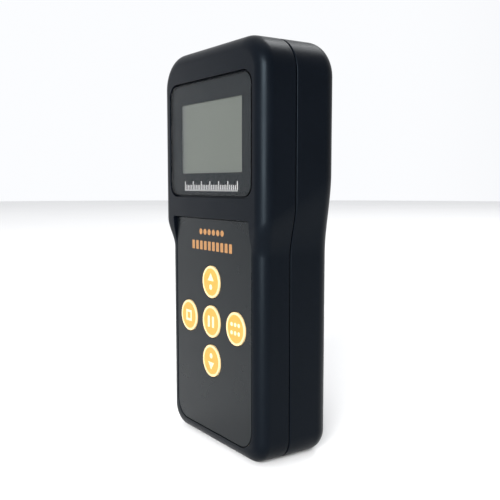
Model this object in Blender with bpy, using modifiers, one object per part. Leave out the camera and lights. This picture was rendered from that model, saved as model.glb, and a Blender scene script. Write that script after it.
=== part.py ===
"""Handheld geiger counter: a two-shell pocket dosimeter with a wide display head and a narrower keypad body.

The instrument stands on its flat bottom end. X is its width, +Y points from its face to its back, and Z is
its length, upwards. The origin is the middle of the bottom of its bounding box.
"""

import math

import bmesh
import bpy
from mathutils import Vector

MM = 0.001

# Case: overall sizes
LENGTH = 146.8 * MM
HEAD_WIDTH = 69.2 * MM
BODY_WIDTH = 63.0 * MM
DEPTH = 32.5 * MM
HEAD_PROUD = 1.4 * MM  # how far the head's face stands in front of the body's face
SEAM_DEPTH = 13.9 * MM  # from the head's face to the joint between the two shells
SHOULDER_LOW = 72.5 * MM  # where the body starts to widen towards the head
SHOULDER_HIGH_FACE = 83.7 * MM  # where the head reaches its full width, at the face
SHOULDER_HIGH_BACK = 102.0 * MM  # and at the back, so that the shoulder rises backwards
TOP_CORNER = 13.0 * MM
BASE_CORNER = 8.5 * MM
FACE_ROUND = 5.0 * MM
BACK_ROUND = 6.2 * MM
WALL = 2.2 * MM

# Joint between the shells
SEAM_GAP = 0.3 * MM
SEAM_CHAMFER = 0.3 * MM
TONGUE_HEIGHT = 1.5 * MM
TONGUE_INSET = 1.05 * MM
GROOVE_INSET = 0.85 * MM

# Clearances
GAP = 0.3 * MM  # between pieces that sit face to face
FILM_GAP = 0.3 * MM  # round the keypad film
KEY_GAP = 0.2 * MM  # round each key
WINDOW_GAP = 0.4 * MM  # round the window

# Display window
WINDOW_WIDTH = 55.7 * MM
WINDOW_HEIGHT = 41.4 * MM
WINDOW_Z = 113.8 * MM
WINDOW_CORNER = 4.5 * MM
LENS_THICKNESS = 0.8 * MM
LENS_SUNK = 0.1 * MM
MASK_THICKNESS = 0.25 * MM
VIEW_WIDTH = 42.0 * MM
VIEW_HEIGHT = 25.8 * MM
VIEW_Z = 114.2 * MM
VIEW_CORNER = 0.3 * MM
LEDGE_OPENING_WIDTH = 46.5 * MM
LEDGE_OPENING_HEIGHT = 30.0 * MM
LEDGE_CORNER = 0.8 * MM
LEDGE_THICKNESS = 1.4 * MM
LCD_WIDTH = 49.0 * MM
LCD_HEIGHT = 32.0 * MM
LCD_CORNER = 0.5 * MM
LCD_THICKNESS = 2.2 * MM
POLARIZER_SIDE_GAP = 0.5 * MM  # between the polarizer and the ledge round it
LCD_FRAME_WALL = 1.2 * MM
LCD_FRAME_CORNER = 1.2 * MM
CONNECTOR_HEIGHT = 2.4 * MM

# Thicker wall behind the keypad film and round the window
KEYPAD_BACKING_MARGIN = 1.1 * MM
KEYPAD_BACKING_FRONT = 0.8 * MM
KEYPAD_BACKING_BACK = 2.5 * MM
WINDOW_BACKING_MARGIN = 1.5 * MM
WINDOW_BACKING_FRONT = 1.7 * MM
WINDOW_BACKING_TOP = 1.9 * MM
WINDOW_BACKING_BOTTOM = 2.3 * MM
BACKING_OVERLAP = 0.6 * MM

# Keypad
KEYPAD_Z = 46.5 * MM
KEY_PITCH_X = 16.5 * MM
KEY_PITCH_Z = 14.8 * MM
KEY_DIAMETER = 12.0 * MM
KEY_PROUD = 0.35 * MM
KEY_TRAVEL = 0.4 * MM
KEY_STEM_RADIUS = 2.5 * MM
PLUNGER_RADIUS = 1.4 * MM
FILM_WIDTH = 52.0 * MM
FILM_LOW = 4.9 * MM
FILM_HIGH = 84.5 * MM
FILM_CORNER = 7.0 * MM
FILM_SUNK = 0.1 * MM
FILM_THICKNESS = 0.5 * MM
FILM_RECESS = 1.0 * MM
SWITCH_SIZE = 6.0 * MM
SWITCH_HEIGHT = 1.9 * MM
KEY_PLACES = {
    "up": (0, 1),
    "left": (-1, 0),
    "enter": (0, 0),
    "right": (1, 0),
    "down": (0, -1),
}

# Circuit board, from the body's face
BOARD_DEPTH = 6.4 * MM
BOARD_THICKNESS = 1.6 * MM
BOARD_LOW = 18.0 * MM
BOARD_HIGH = 131.5 * MM
BOARD_HALF_WIDTH = 28.0 * MM
BOARD_HEAD_HALF_WIDTH = 31.2 * MM
BOARD_NECK_Z = 94.0 * MM
BOARD_SCREW_PLACES = ((-25.0, 24.0), (25.0, 24.0), (-28.7, 127.5), (28.7, 127.5))
BOARD_HOLE_RADIUS = 1.1 * MM
POST_RADIUS = 2.2 * MM
POST_HOLE_RADIUS = 0.9 * MM

# Case screws and their columns
CASE_SCREW_PLACES = ((-24.6, 13.0), (24.6, 13.0), (-26.6, 136.3), (26.6, 136.3))
COLUMN_RADIUS = 4.2 * MM
BOSS_RADIUS = 3.2 * MM
BOSS_END = 16.0 * MM
BOSS_HOLE_RADIUS = 1.5 * MM
BOSS_HOLE_START = 7.5 * MM
SCREW_HOLE_RADIUS = 1.6 * MM
SCREW_HEAD_HOLE_RADIUS = 3.1 * MM
SCREW_HEAD_DEPTH = 4.0 * MM

# Marks in the back
SOUND_HOLE_RADIUS = 0.8 * MM
SOUND_RING_RADIUS = 3.2 * MM
LABEL_WIDTH = 38.0 * MM
LABEL_HEIGHT = 16.0 * MM
LABEL_CORNER = 2.0 * MM
LABEL_Z = 86.0 * MM
LABEL_DEPTH = 0.4 * MM

# Battery bay, which opens at the back
CELL_RADIUS = 7.1 * MM
CELL_LENGTH = 50.5 * MM
CELL_X = 7.8 * MM
CELL_LOW = 12.1 * MM
BAY_HALF_WIDTH = 15.4 * MM
BAY_LOW = 7.8 * MM
BAY_HIGH = 66.8 * MM
BAY_WALL = 1.5 * MM
BAY_OUTER_HALF_WIDTH = 20.9 * MM
BAY_BLOCK_LOW = 3.0 * MM
BAY_FOOT_LOW = 1.6 * MM
BAY_FOOT_HIGH = 6.0 * MM
DOOR_HALF_WIDTH = 17.7 * MM
DOOR_TONGUE = 1.2 * MM
DOOR_TONGUE_THICKNESS = 0.9 * MM
DOOR_THICKNESS = 2.0 * MM
DOOR_HIGH = 69.5 * MM
GRIP_COUNT = 5
GRIP_LOW = 50.0 * MM
GRIP_PITCH = 2.4 * MM
GRIP_GROOVE = 1.1 * MM
GRIP_DEPTH = 0.7 * MM
GRIP_HALF_LENGTH = 8.0 * MM
CONTACT_THICKNESS = 0.5 * MM
CONTACT_HALF_DEPTH = 5.5 * MM
CONTACT_SIDE_GAP = 0.9 * MM
CONTACT_MIDDLE_GAP = 1.2 * MM
CONTACT_BUTTON_RADIUS = 2.6 * MM

# Radiation detector and the parts round it
TUBE_X = -20.0 * MM
TUBE_Z = 101.0 * MM
TUBE_RADIUS = 5.1 * MM
TUBE_GLASS_LENGTH = 48.0 * MM
TUBE_CAP_RADIUS = 4.2 * MM
TUBE_CAP_LENGTH = 6.0 * MM
SLEEVE_RADIUS = 6.0 * MM
SLEEVE_LENGTH = 30.0 * MM
BUZZER_X = 18.0 * MM
BUZZER_Z = 112.0 * MM
BUZZER_RADIUS = 6.0 * MM
BUZZER_HEIGHT = 7.0 * MM
CLIP_THICKNESS = 0.6 * MM
CLIP_HALF_WIDTH = 2.2 * MM
CLIP_FOOT_HALF_WIDTH = 2.5 * MM

# Planes that the sizes above give, along Y
HEAD_FACE = -DEPTH / 2
BODY_FACE = HEAD_FACE + HEAD_PROUD
SEAM = HEAD_FACE + SEAM_DEPTH
BACK = DEPTH / 2
BOARD_FRONT = BODY_FACE + BOARD_DEPTH
BOARD_BACK = BOARD_FRONT + BOARD_THICKNESS
DOOR_INNER = BACK - DOOR_THICKNESS
CELL_Y = DOOR_INNER - 0.15 * MM - CELL_RADIUS
BAY_FRONT = CELL_Y - CELL_RADIUS - 0.3 * MM
LEDGE_FRONT = HEAD_FACE + LENS_SUNK + LENS_THICKNESS + MASK_THICKNESS + 0.2 * MM
LEDGE_BACK = LEDGE_FRONT + LEDGE_THICKNESS
POLARIZER_FRONT = LEDGE_FRONT + 0.1 * MM
LCD_FRONT = LEDGE_BACK + GAP
LCD_BACK = LCD_FRONT + LCD_THICKNESS
RECESS_FLOOR = BODY_FACE + FILM_RECESS
TUBE_Y = BOARD_BACK + GAP + SLEEVE_RADIUS

# Where the thicker wall round the window starts, along Z
WINDOW_LOW = WINDOW_Z - WINDOW_HEIGHT / 2 - WINDOW_BACKING_BOTTOM

ARC_STEPS = 7
ROUND_STEPS = 5
SHOULDER_STEPS = 8
CIRCLE_STEPS = 32

for old in list(bpy.data.objects):
    bpy.data.objects.remove(old, do_unlink=True)

PARTS = bpy.data.collections.new("geiger_counter")
CUTTERS = bpy.data.collections.new("cutters")
bpy.context.scene.collection.children.link(PARTS)
bpy.context.scene.collection.children.link(CUTTERS)


# ---------------------------------------------------------------- materials and objects
def material(name, color, roughness, metallic=0.0, alpha=1.0):
    made = bpy.data.materials.new(name)
    made.use_nodes = True
    shader = made.node_tree.nodes["Principled BSDF"]
    shader.inputs["Base Color"].default_value = (*color, 1.0)
    shader.inputs["Roughness"].default_value = roughness
    shader.inputs["Metallic"].default_value = metallic
    shader.inputs["Alpha"].default_value = alpha
    return made


CASE_PLASTIC = material("case_plastic", (0.016, 0.019, 0.024), 0.5)
DOOR_PLASTIC = material("door_plastic", (0.016, 0.019, 0.024), 0.5)
CLEAR_ACRYLIC = material("clear_acrylic", (0.75, 0.78, 0.78), 0.08, alpha=0.35)
PRINTED_MASK = material("printed_mask", (0.045, 0.05, 0.055), 0.4)
LCD_GLASS = material("lcd_glass", (0.21, 0.23, 0.21), 0.25)
DIFFUSER = material("diffuser", (0.8, 0.8, 0.76), 0.5)
WHITE_PLASTIC = material("white_plastic", (0.7, 0.7, 0.68), 0.5)
SILICONE = material("silicone", (0.5, 0.15, 0.12), 0.7)
KEYPAD_FOIL = material("keypad_foil", (0.055, 0.065, 0.07), 0.45)
KEY_ORANGE = material("key_orange", (0.94, 0.5, 0.09), 0.45)
SWITCH_METAL = material("switch_metal", (0.62, 0.63, 0.62), 0.35, 1.0)
BOARD_GREEN = material("board_green", (0.02, 0.16, 0.06), 0.4)
STEEL = material("steel", (0.45, 0.45, 0.46), 0.3, 1.0)
SPRING_STEEL = material("spring_steel", (0.7, 0.7, 0.68), 0.25, 1.0)
TUBE_GLASS = material("tube_glass", (0.24, 0.2, 0.16), 0.1)
TUBE_BRASS = material("tube_brass", (0.6, 0.42, 0.16), 0.3, 1.0)
TIN = material("tin", (0.55, 0.56, 0.58), 0.4, 1.0)
FERRITE = material("ferrite", (0.05, 0.05, 0.055), 0.7)
CAPACITOR_RED = material("capacitor_red", (0.45, 0.06, 0.03), 0.4)
CAPACITOR_SLEEVE = material("capacitor_sleeve", (0.02, 0.03, 0.09), 0.3)
CHIP_BLACK = material("chip_black", (0.02, 0.02, 0.021), 0.6)
BUZZER_BLACK = material("buzzer_black", (0.022, 0.022, 0.022), 0.5)
CELL_SLEEVE = material("cell_sleeve", (0.11, 0.22, 0.3), 0.35)


def place(name, data, finish, location=(0, 0, 0), rotation=(0, 0, 0)):
    """Adds a part to the model's collection."""
    part = bpy.data.objects.new(name, data)
    part.location = location
    part.rotation_euler = rotation
    if finish is not None:
        data.materials.clear()
        data.materials.append(finish)
    PARTS.objects.link(part)
    return part


def cutter(name, mesh, location=(0, 0, 0), rotation=(0, 0, 0)):
    """Adds a shape that only cuts or joins, and isn't a part."""
    shape = bpy.data.objects.new(name, mesh)
    shape.location = location
    shape.rotation_euler = rotation
    shape.hide_render = True
    shape.display_type = "WIRE"
    CUTTERS.objects.link(shape)
    return shape


def boolean(part, operation, shape):
    step = part.modifiers.new(f"{operation.lower()} {shape.name}", "BOOLEAN")
    step.operation = operation
    step.solver = "EXACT"
    step.object = shape
    return step


def bevel(part, width, segments=2):
    step = part.modifiers.new("bevel", "BEVEL")
    step.width = width
    step.segments = segments
    step.limit_method = "ANGLE"
    return step


def finish_mesh(name, bm):
    """Turns a bmesh into a mesh whose faces point out, smooth over the round stretches."""
    bmesh.ops.recalc_face_normals(bm, faces=bm.faces)
    mesh = bpy.data.meshes.new(name)
    bm.to_mesh(mesh)
    bm.free()
    mesh.shade_smooth()
    mesh.set_sharp_from_angle(angle=math.radians(35))
    return mesh


# ---------------------------------------------------------------- basic shapes
def arc(centre_x, centre_z, radius, start, end, steps):
    """Points round a centre in the XZ plane, with the angles in degrees from +X towards +Z."""
    points = []
    for i in range(steps + 1):
        angle = math.radians(start + (end - start) * i / steps)
        points.append((centre_x + radius * math.cos(angle), centre_z + radius * math.sin(angle)))
    return points


def rounded_rectangle(width, height, corner, centre_z=0.0, steps=5):
    x = width / 2 - corner
    z = height / 2 - corner
    points = []
    for sign_x, sign_z, start in ((1, 1, 0), (-1, 1, 90), (-1, -1, 180), (1, -1, 270)):
        points += arc(sign_x * x, centre_z + sign_z * z, corner, start, start + 90, steps)
    return points


def prism(name, outline, front, back):
    """An outline in the XZ plane, extruded along Y."""
    bm = bmesh.new()
    face = bm.faces.new([bm.verts.new((x, front, z)) for x, z in outline])
    grown = bmesh.ops.extrude_face_region(bm, geom=[face])
    moved = [v for v in grown["geom"] if isinstance(v, bmesh.types.BMVert)]
    bmesh.ops.translate(bm, vec=(0, back - front, 0), verts=moved)
    return finish_mesh(name, bm)


def block(name, low, high):
    """A box between two corners."""
    bm = bmesh.new()
    bmesh.ops.create_cube(bm, size=1.0)
    low = Vector(low)
    high = Vector(high)
    size = high - low
    bmesh.ops.scale(bm, vec=size, verts=bm.verts)
    bmesh.ops.translate(bm, vec=(low + high) / 2, verts=bm.verts)
    return finish_mesh(name, bm)


def rods(name, places, radius, front, back, steps=CIRCLE_STEPS):
    """Round rods along Y, one at each place in the XZ plane, in one mesh."""
    bm = bmesh.new()
    for x, z in places:
        made = bmesh.ops.create_cone(
            bm, cap_ends=True, segments=steps, radius1=radius, radius2=radius, depth=back - front
        )
        turn = Vector((0, 0, 1)).rotation_difference(Vector((0, 1, 0))).to_matrix()
        bmesh.ops.rotate(bm, cent=(0, 0, 0), matrix=turn, verts=made["verts"])
        bmesh.ops.translate(bm, vec=(x, (front + back) / 2, z), verts=made["verts"])
    return finish_mesh(name, bm)


def turned(name, profile, finish, location=(0, 0, 0), rotation=(0, 0, 0), steps=24, closed=False):
    """A shape turned round its own Z axis. Its profile is (radius, height) points, down its outer side."""
    mesh = bpy.data.meshes.new(name)
    count = len(profile)
    edges = [(i, i + 1) for i in range(count - 1)]
    if closed:
        edges.append((count - 1, 0))
    mesh.from_pydata([(r, 0, z) for r, z in profile], edges, [])
    part = place(name, mesh, finish, location, rotation)
    screw = part.modifiers.new("turn", "SCREW")
    screw.angle = math.tau
    screw.steps = steps
    screw.render_steps = steps
    screw.axis = "Z"
    screw.use_merge_vertices = True
    screw.merge_threshold = 0.00001
    screw.use_smooth_shade = True
    return part


FACING_FRONT = (math.radians(90), 0, 0)  # local +Z points along -Y
FACING_BACK = (math.radians(-90), 0, 0)  # local +Z points along +Y


# ---------------------------------------------------------------- the case's outer form
def smooth_step(t):
    t = min(max(t, 0.0), 1.0)
    return t * t * (3 - 2 * t)


def shoulder_high(depth):
    """Where the shoulder ends at a depth behind the head's face."""
    return SHOULDER_HIGH_FACE + (SHOULDER_HIGH_BACK - SHOULDER_HIGH_FACE) * depth / DEPTH


def shoulder(z, depth):
    """0 on the body, 1 on the head, and smooth between."""
    return smooth_step((z - SHOULDER_LOW) / (shoulder_high(depth) - SHOULDER_LOW))


def half_outline(inset, depth):
    """The right half of the case's outline at a depth, moved inwards, from its top to its bottom."""
    head = HEAD_WIDTH / 2
    body = BODY_WIDTH / 2
    corner_z = LENGTH - TOP_CORNER
    points = arc(head - TOP_CORNER, corner_z, TOP_CORNER - inset, 90, 0, ARC_STEPS)
    for i in range(SHOULDER_STEPS + 1):
        z = shoulder_high(depth) + (SHOULDER_LOW - shoulder_high(depth)) * i / SHOULDER_STEPS
        points.append((body + (head - body) * shoulder(z, depth) - inset, z))
    points += arc(body - BASE_CORNER, BASE_CORNER, BASE_CORNER - inset, 0, -90, ARC_STEPS)
    return points


def case_y(depth, z):
    """Y of a point at a depth behind the head's face. Before the seam it follows the step to the body."""
    if depth >= SEAM_DEPTH:
        return HEAD_FACE + depth
    body_share = (SEAM_DEPTH - HEAD_PROUD) / SEAM_DEPTH
    share = body_share + (1 - body_share) * shoulder(z, depth)
    return SEAM - (SEAM_DEPTH - depth) * share


def loft(name, sections):
    """A closed body through (inset, depth) sections of the case's outline, capped at both ends."""
    bm = bmesh.new()
    rings = []
    for inset, depth in sections:
        half = half_outline(inset, depth)
        right = [bm.verts.new((x, case_y(depth, z), z)) for x, z in half]
        left = [bm.verts.new((-x, case_y(depth, z), z)) for x, z in half]
        rings.append((right, left))
    for (right, left), (next_right, next_left) in zip(rings, rings[1:]):
        ring = right + left[::-1]
        next_ring = next_right + next_left[::-1]
        for i in range(len(ring)):
            j = (i + 1) % len(ring)
            bm.faces.new((ring[i], ring[j], next_ring[j], next_ring[i]))
    for right, left in (rings[0], rings[-1]):
        for i in range(len(right) - 1):
            bm.faces.new((right[i], right[i + 1], left[i + 1], left[i]))
    return finish_mesh(name, bm)


def rounding(radius, wall, depth_of, steps):
    """Sections of a quarter round from a flat face to the side, moved inwards by the wall's thickness."""
    sections = []
    for i in range(steps + 1):
        angle = math.radians(90 * i / steps)
        inset = wall + radius * (1 - math.sin(angle))
        sections.append((inset, depth_of(wall + radius * (1 - math.cos(angle)))))
    return sections


def from_face(depth):
    return depth


def from_back(depth):
    return DEPTH - depth


def front_shell_sections():
    rim = SEAM_DEPTH - SEAM_GAP / 2
    tongue = rim + TONGUE_HEIGHT
    outside = rounding(FACE_ROUND, 0, from_face, ROUND_STEPS)
    inside = rounding(FACE_ROUND - WALL, WALL, from_face, ROUND_STEPS - 2)
    joint = [(0, rim - SEAM_CHAMFER), (SEAM_CHAMFER, rim), (TONGUE_INSET, rim)]
    joint += [(TONGUE_INSET, tongue), (WALL, tongue)]
    return outside + joint + inside[::-1]


def rear_shell_sections():
    rim = SEAM_DEPTH + SEAM_GAP / 2
    groove = rim + TONGUE_HEIGHT
    outside = rounding(BACK_ROUND, 0, from_back, ROUND_STEPS)
    inside = rounding(BACK_ROUND - WALL, WALL, from_back, ROUND_STEPS - 2)
    joint = [(0, rim + SEAM_CHAMFER), (SEAM_CHAMFER, rim), (GROOVE_INSET, rim)]
    joint += [(GROOVE_INSET, groove), (WALL, groove)]
    return outside + joint + inside[::-1]


def in_metres(places):
    return [(x * MM, z * MM) for x, z in places]


def key_places():
    return {
        name: (column * KEY_PITCH_X, KEYPAD_Z + row * KEY_PITCH_Z)
        for name, (column, row) in KEY_PLACES.items()
    }


# ---------------------------------------------------------------- front shell
def film_outline(margin):
    """The keypad film's outline, or its recess with a margin: round at the bottom corners only."""
    half = FILM_WIDTH / 2 + margin
    corner = FILM_CORNER + margin
    top = FILM_HIGH + margin
    bottom = FILM_LOW - margin
    points = [(half, top), (-half, top)]
    points += arc(-half + corner, bottom + corner, corner, 180, 270, ARC_STEPS)
    points += arc(half - corner, bottom + corner, corner, 270, 360, ARC_STEPS)
    return points


def make_front_shell():
    shell = place("front_shell", loft("front_shell", front_shell_sections()), CASE_PLASTIC)
    before_face = HEAD_FACE - 2 * MM

    # Thicker wall behind the film and behind the window
    half = FILM_WIDTH / 2 + KEYPAD_BACKING_MARGIN
    keypad_backing = block(
        "keypad_backing",
        (-half, BODY_FACE + KEYPAD_BACKING_FRONT, FILM_LOW - 0.1 * MM),
        (half, BODY_FACE + KEYPAD_BACKING_BACK, WINDOW_LOW + BACKING_OVERLAP),
    )
    boolean(shell, "UNION", cutter("keypad_backing", keypad_backing))
    half = WINDOW_WIDTH / 2 + WINDOW_BACKING_MARGIN
    window_backing = block(
        "window_backing",
        (-half, HEAD_FACE + WINDOW_BACKING_FRONT, WINDOW_LOW),
        (half, LEDGE_BACK, WINDOW_Z + WINDOW_HEIGHT / 2 + WINDOW_BACKING_TOP),
    )
    boolean(shell, "UNION", cutter("window_backing", window_backing))

    # Bosses for the case screws and posts for the circuit board
    case_places = in_metres(CASE_SCREW_PLACES)
    board_places = in_metres(BOARD_SCREW_PLACES)
    boss_end = BODY_FACE + BOSS_END
    bosses = rods("case_bosses", case_places, BOSS_RADIUS, BODY_FACE + 0.4 * MM, boss_end, 20)
    boolean(shell, "UNION", cutter("case_bosses", bosses))
    posts = rods("board_posts", board_places, POST_RADIUS, BODY_FACE + 0.5 * MM, BOARD_FRONT - GAP, 16)
    boolean(shell, "UNION", cutter("board_posts", posts))
    boss_start = BODY_FACE + BOSS_HOLE_START
    boss_holes = rods("boss_holes", case_places, BOSS_HOLE_RADIUS, boss_start, boss_end + 0.5 * MM, 16)
    boolean(shell, "DIFFERENCE", cutter("boss_holes", boss_holes))
    post_start = BODY_FACE + 3.0 * MM
    post_holes = rods("post_holes", board_places, POST_HOLE_RADIUS, post_start, BOARD_FRONT, 12)
    boolean(shell, "DIFFERENCE", cutter("post_holes", post_holes))

    # Recess for the film, with a hole for each key's stem
    recess = prism("film_recess", film_outline(FILM_GAP), before_face, RECESS_FLOOR)
    boolean(shell, "DIFFERENCE", cutter("film_recess", recess))
    stem_holes = rods(
        "stem_holes", key_places().values(), KEY_STEM_RADIUS + 0.4 * MM, before_face, BODY_FACE + 4 * MM, 24
    )
    boolean(shell, "DIFFERENCE", cutter("stem_holes", stem_holes))

    # Seat for the window, and the opening behind it
    seat = prism(
        "window_seat",
        rounded_rectangle(
            WINDOW_WIDTH + 2 * WINDOW_GAP,
            WINDOW_HEIGHT + 2 * WINDOW_GAP,
            WINDOW_CORNER + WINDOW_GAP,
            WINDOW_Z,
        ),
        before_face,
        LEDGE_FRONT,
    )
    boolean(shell, "DIFFERENCE", cutter("window_seat", seat))
    opening = prism(
        "window_opening",
        rounded_rectangle(LEDGE_OPENING_WIDTH, LEDGE_OPENING_HEIGHT, LEDGE_CORNER, VIEW_Z, 3),
        before_face,
        LEDGE_BACK + 1 * MM,
    )
    boolean(shell, "DIFFERENCE", cutter("window_opening", opening))


# ---------------------------------------------------------------- rear shell and battery door
def door_profile(clearance):
    """The door's section across Z: a plate with a thin tongue along each side, in (x, y) points."""
    half = DOOR_HALF_WIDTH + clearance
    wide = half + DOOR_TONGUE
    inner = DOOR_INNER - clearance
    tongue_back = DOOR_INNER + DOOR_TONGUE_THICKNESS + clearance
    outside = BACK + 2 * MM
    return [
        (-wide, inner), (wide, inner), (wide, tongue_back), (half, tongue_back),
        (half, outside), (-half, outside), (-half, tongue_back), (-wide, tongue_back),
    ]


def slide(name, profile, low, high):
    """A section in the XY plane, extruded along Z."""
    bm = bmesh.new()
    face = bm.faces.new([bm.verts.new((x, y, low)) for x, y in profile])
    grown = bmesh.ops.extrude_face_region(bm, geom=[face])
    moved = [v for v in grown["geom"] if isinstance(v, bmesh.types.BMVert)]
    bmesh.ops.translate(bm, vec=(0, 0, high - low), verts=moved)
    return finish_mesh(name, bm)


def sound_hole_places():
    ring = [math.radians(60 * i) for i in range(6)]
    radius = SOUND_RING_RADIUS
    around = [(BUZZER_X + radius * math.cos(a), BUZZER_Z + radius * math.sin(a)) for a in ring]
    return [(BUZZER_X, BUZZER_Z)] + around


def make_rear_shell():
    shell = place("rear_shell", loft("rear_shell", rear_shell_sections()), CASE_PLASTIC)
    half = BAY_OUTER_HALF_WIDTH
    behind = BACK + 1 * MM
    places = in_metres(CASE_SCREW_PLACES)
    bay = block(
        "bay",
        (-half, BAY_FRONT - BAY_WALL, BAY_BLOCK_LOW),
        (half, BACK - 1.0 * MM, BAY_HIGH + BAY_WALL + 2 * MM),
    )
    boolean(shell, "UNION", cutter("bay", bay))
    foot = block(
        "bay_foot",
        (-half + 1 * MM, SEAM + 3.0 * MM, BAY_FOOT_LOW),
        (half - 1 * MM, BACK - 3.0 * MM, BAY_FOOT_HIGH),
    )
    boolean(shell, "UNION", cutter("bay_foot", foot))
    columns = rods("columns", places, COLUMN_RADIUS, BODY_FACE + BOSS_END + GAP, BACK - 1.0 * MM, 24)
    boolean(shell, "UNION", cutter("columns", columns))

    cavity = block("bay_cavity", (-BAY_HALF_WIDTH, BAY_FRONT, BAY_LOW), (BAY_HALF_WIDTH, behind, BAY_HIGH))
    boolean(shell, "DIFFERENCE", cutter("bay_cavity", cavity))
    slot = slide("door_slot", door_profile(GAP), -1 * MM, DOOR_HIGH + GAP)
    boolean(shell, "DIFFERENCE", cutter("door_slot", slot))
    screw_holes = rods("screw_holes", places, SCREW_HOLE_RADIUS, SEAM, behind, 16)
    boolean(shell, "DIFFERENCE", cutter("screw_holes", screw_holes))
    head_holes = rods("head_holes", places, SCREW_HEAD_HOLE_RADIUS, BACK - SCREW_HEAD_DEPTH, behind, 24)
    boolean(shell, "DIFFERENCE", cutter("head_holes", head_holes))
    sound_start = BACK - WALL - 1 * MM
    sound_holes = rods("sound_holes", sound_hole_places(), SOUND_HOLE_RADIUS, sound_start, behind, 12)
    boolean(shell, "DIFFERENCE", cutter("sound_holes", sound_holes))
    label_outline = rounded_rectangle(LABEL_WIDTH, LABEL_HEIGHT, LABEL_CORNER, LABEL_Z, 3)
    label = prism("label_recess", label_outline, BACK - LABEL_DEPTH, behind)
    boolean(shell, "DIFFERENCE", cutter("label_recess", label))


def make_battery_door():
    """The door is the stretch of the case's own form inside the door's section."""
    front_half = rounding(FACE_ROUND, 0, from_face, ROUND_STEPS)
    back_half = rounding(BACK_ROUND, 0, from_back, ROUND_STEPS)[::-1]
    door = place("battery_door", slide("battery_door", door_profile(0), 0, DOOR_HIGH), DOOR_PLASTIC)
    boolean(door, "INTERSECT", cutter("case_form", loft("case_form", front_half + back_half)))
    for i in range(GRIP_COUNT):
        z = GRIP_LOW + i * GRIP_PITCH
        groove = block(
            f"grip_groove_{i}",
            (-GRIP_HALF_LENGTH, BACK - GRIP_DEPTH, z),
            (GRIP_HALF_LENGTH, BACK + 1 * MM, z + GRIP_GROOVE),
        )
        boolean(door, "DIFFERENCE", cutter(f"grip_groove_{i}", groove))


# ---------------------------------------------------------------- window and display
def make_window():
    lens = prism(
        "window_lens",
        rounded_rectangle(WINDOW_WIDTH, WINDOW_HEIGHT, WINDOW_CORNER, WINDOW_Z),
        HEAD_FACE + LENS_SUNK,
        HEAD_FACE + LENS_SUNK + LENS_THICKNESS,
    )
    place("window_lens", lens, CLEAR_ACRYLIC)
    mask_front = HEAD_FACE + LENS_SUNK + LENS_THICKNESS + 0.1 * MM
    mask = prism(
        "window_mask",
        rounded_rectangle(WINDOW_WIDTH - 1 * MM, WINDOW_HEIGHT - 1 * MM, WINDOW_CORNER - 0.5 * MM, WINDOW_Z),
        mask_front,
        mask_front + MASK_THICKNESS,
    )
    mask = place("window_mask", mask, PRINTED_MASK)
    view = prism(
        "view_opening",
        rounded_rectangle(VIEW_WIDTH, VIEW_HEIGHT, VIEW_CORNER, VIEW_Z, 3),
        mask_front - 1 * MM,
        mask_front + 1 * MM,
    )
    boolean(mask, "DIFFERENCE", cutter("view_opening", view))


def make_display():
    outline = rounded_rectangle(LCD_WIDTH, LCD_HEIGHT, LCD_CORNER, VIEW_Z, 2)
    glass = place("lcd_glass", prism("lcd_glass", outline, LCD_FRONT, LCD_BACK), LCD_GLASS)
    polarizer = prism(
        "lcd_polarizer",
        rounded_rectangle(
            LEDGE_OPENING_WIDTH - 2 * POLARIZER_SIDE_GAP,
            LEDGE_OPENING_HEIGHT - 2 * POLARIZER_SIDE_GAP,
            LCD_CORNER,
            VIEW_Z,
            2,
        ),
        POLARIZER_FRONT,
        LCD_FRONT + LCD_THICKNESS / 2,
    )
    boolean(glass, "UNION", cutter("lcd_polarizer", polarizer))

    grown = 2 * (LCD_FRAME_WALL + GAP)
    frame_back = BOARD_FRONT - GAP
    frame = prism(
        "lcd_frame",
        rounded_rectangle(LCD_WIDTH + grown, LCD_HEIGHT + grown, LCD_FRAME_CORNER, VIEW_Z, 3),
        LCD_FRONT,
        frame_back,
    )
    frame = place("lcd_frame", frame, WHITE_PLASTIC)
    pocket = prism(
        "lcd_pocket",
        rounded_rectangle(LCD_WIDTH + 2 * GAP, LCD_HEIGHT + 2 * GAP, LCD_CORNER + GAP, VIEW_Z, 2),
        LCD_FRONT - 1 * MM,
        frame_back + 1 * MM,
    )
    boolean(frame, "DIFFERENCE", cutter("lcd_pocket", pocket))

    low = VIEW_Z - LCD_HEIGHT / 2
    high = VIEW_Z + LCD_HEIGHT / 2
    half = LCD_WIDTH / 2 - 0.5 * MM
    connector_top = low + CONNECTOR_HEIGHT
    strip = block("lcd_connector", (-half, LCD_BACK + GAP, low), (half, frame_back, connector_top))
    place("lcd_connector", strip, SILICONE)
    light = block("lcd_backlight", (-half, LCD_BACK + GAP, connector_top + GAP), (half, frame_back, high))
    place("lcd_backlight", light, DIFFUSER)


# ---------------------------------------------------------------- keypad
def make_film():
    front = BODY_FACE + FILM_SUNK
    sheet = prism("keypad_film", film_outline(0), front, front + FILM_THICKNESS)
    film = place("keypad_film", sheet, KEYPAD_FOIL)
    hole_radius = KEY_DIAMETER / 2 + KEY_GAP
    holes = rods("film_holes", key_places().values(), hole_radius, front - 1 * MM, front + 1 * MM)
    boolean(film, "DIFFERENCE", cutter("film_holes", holes))


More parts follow.
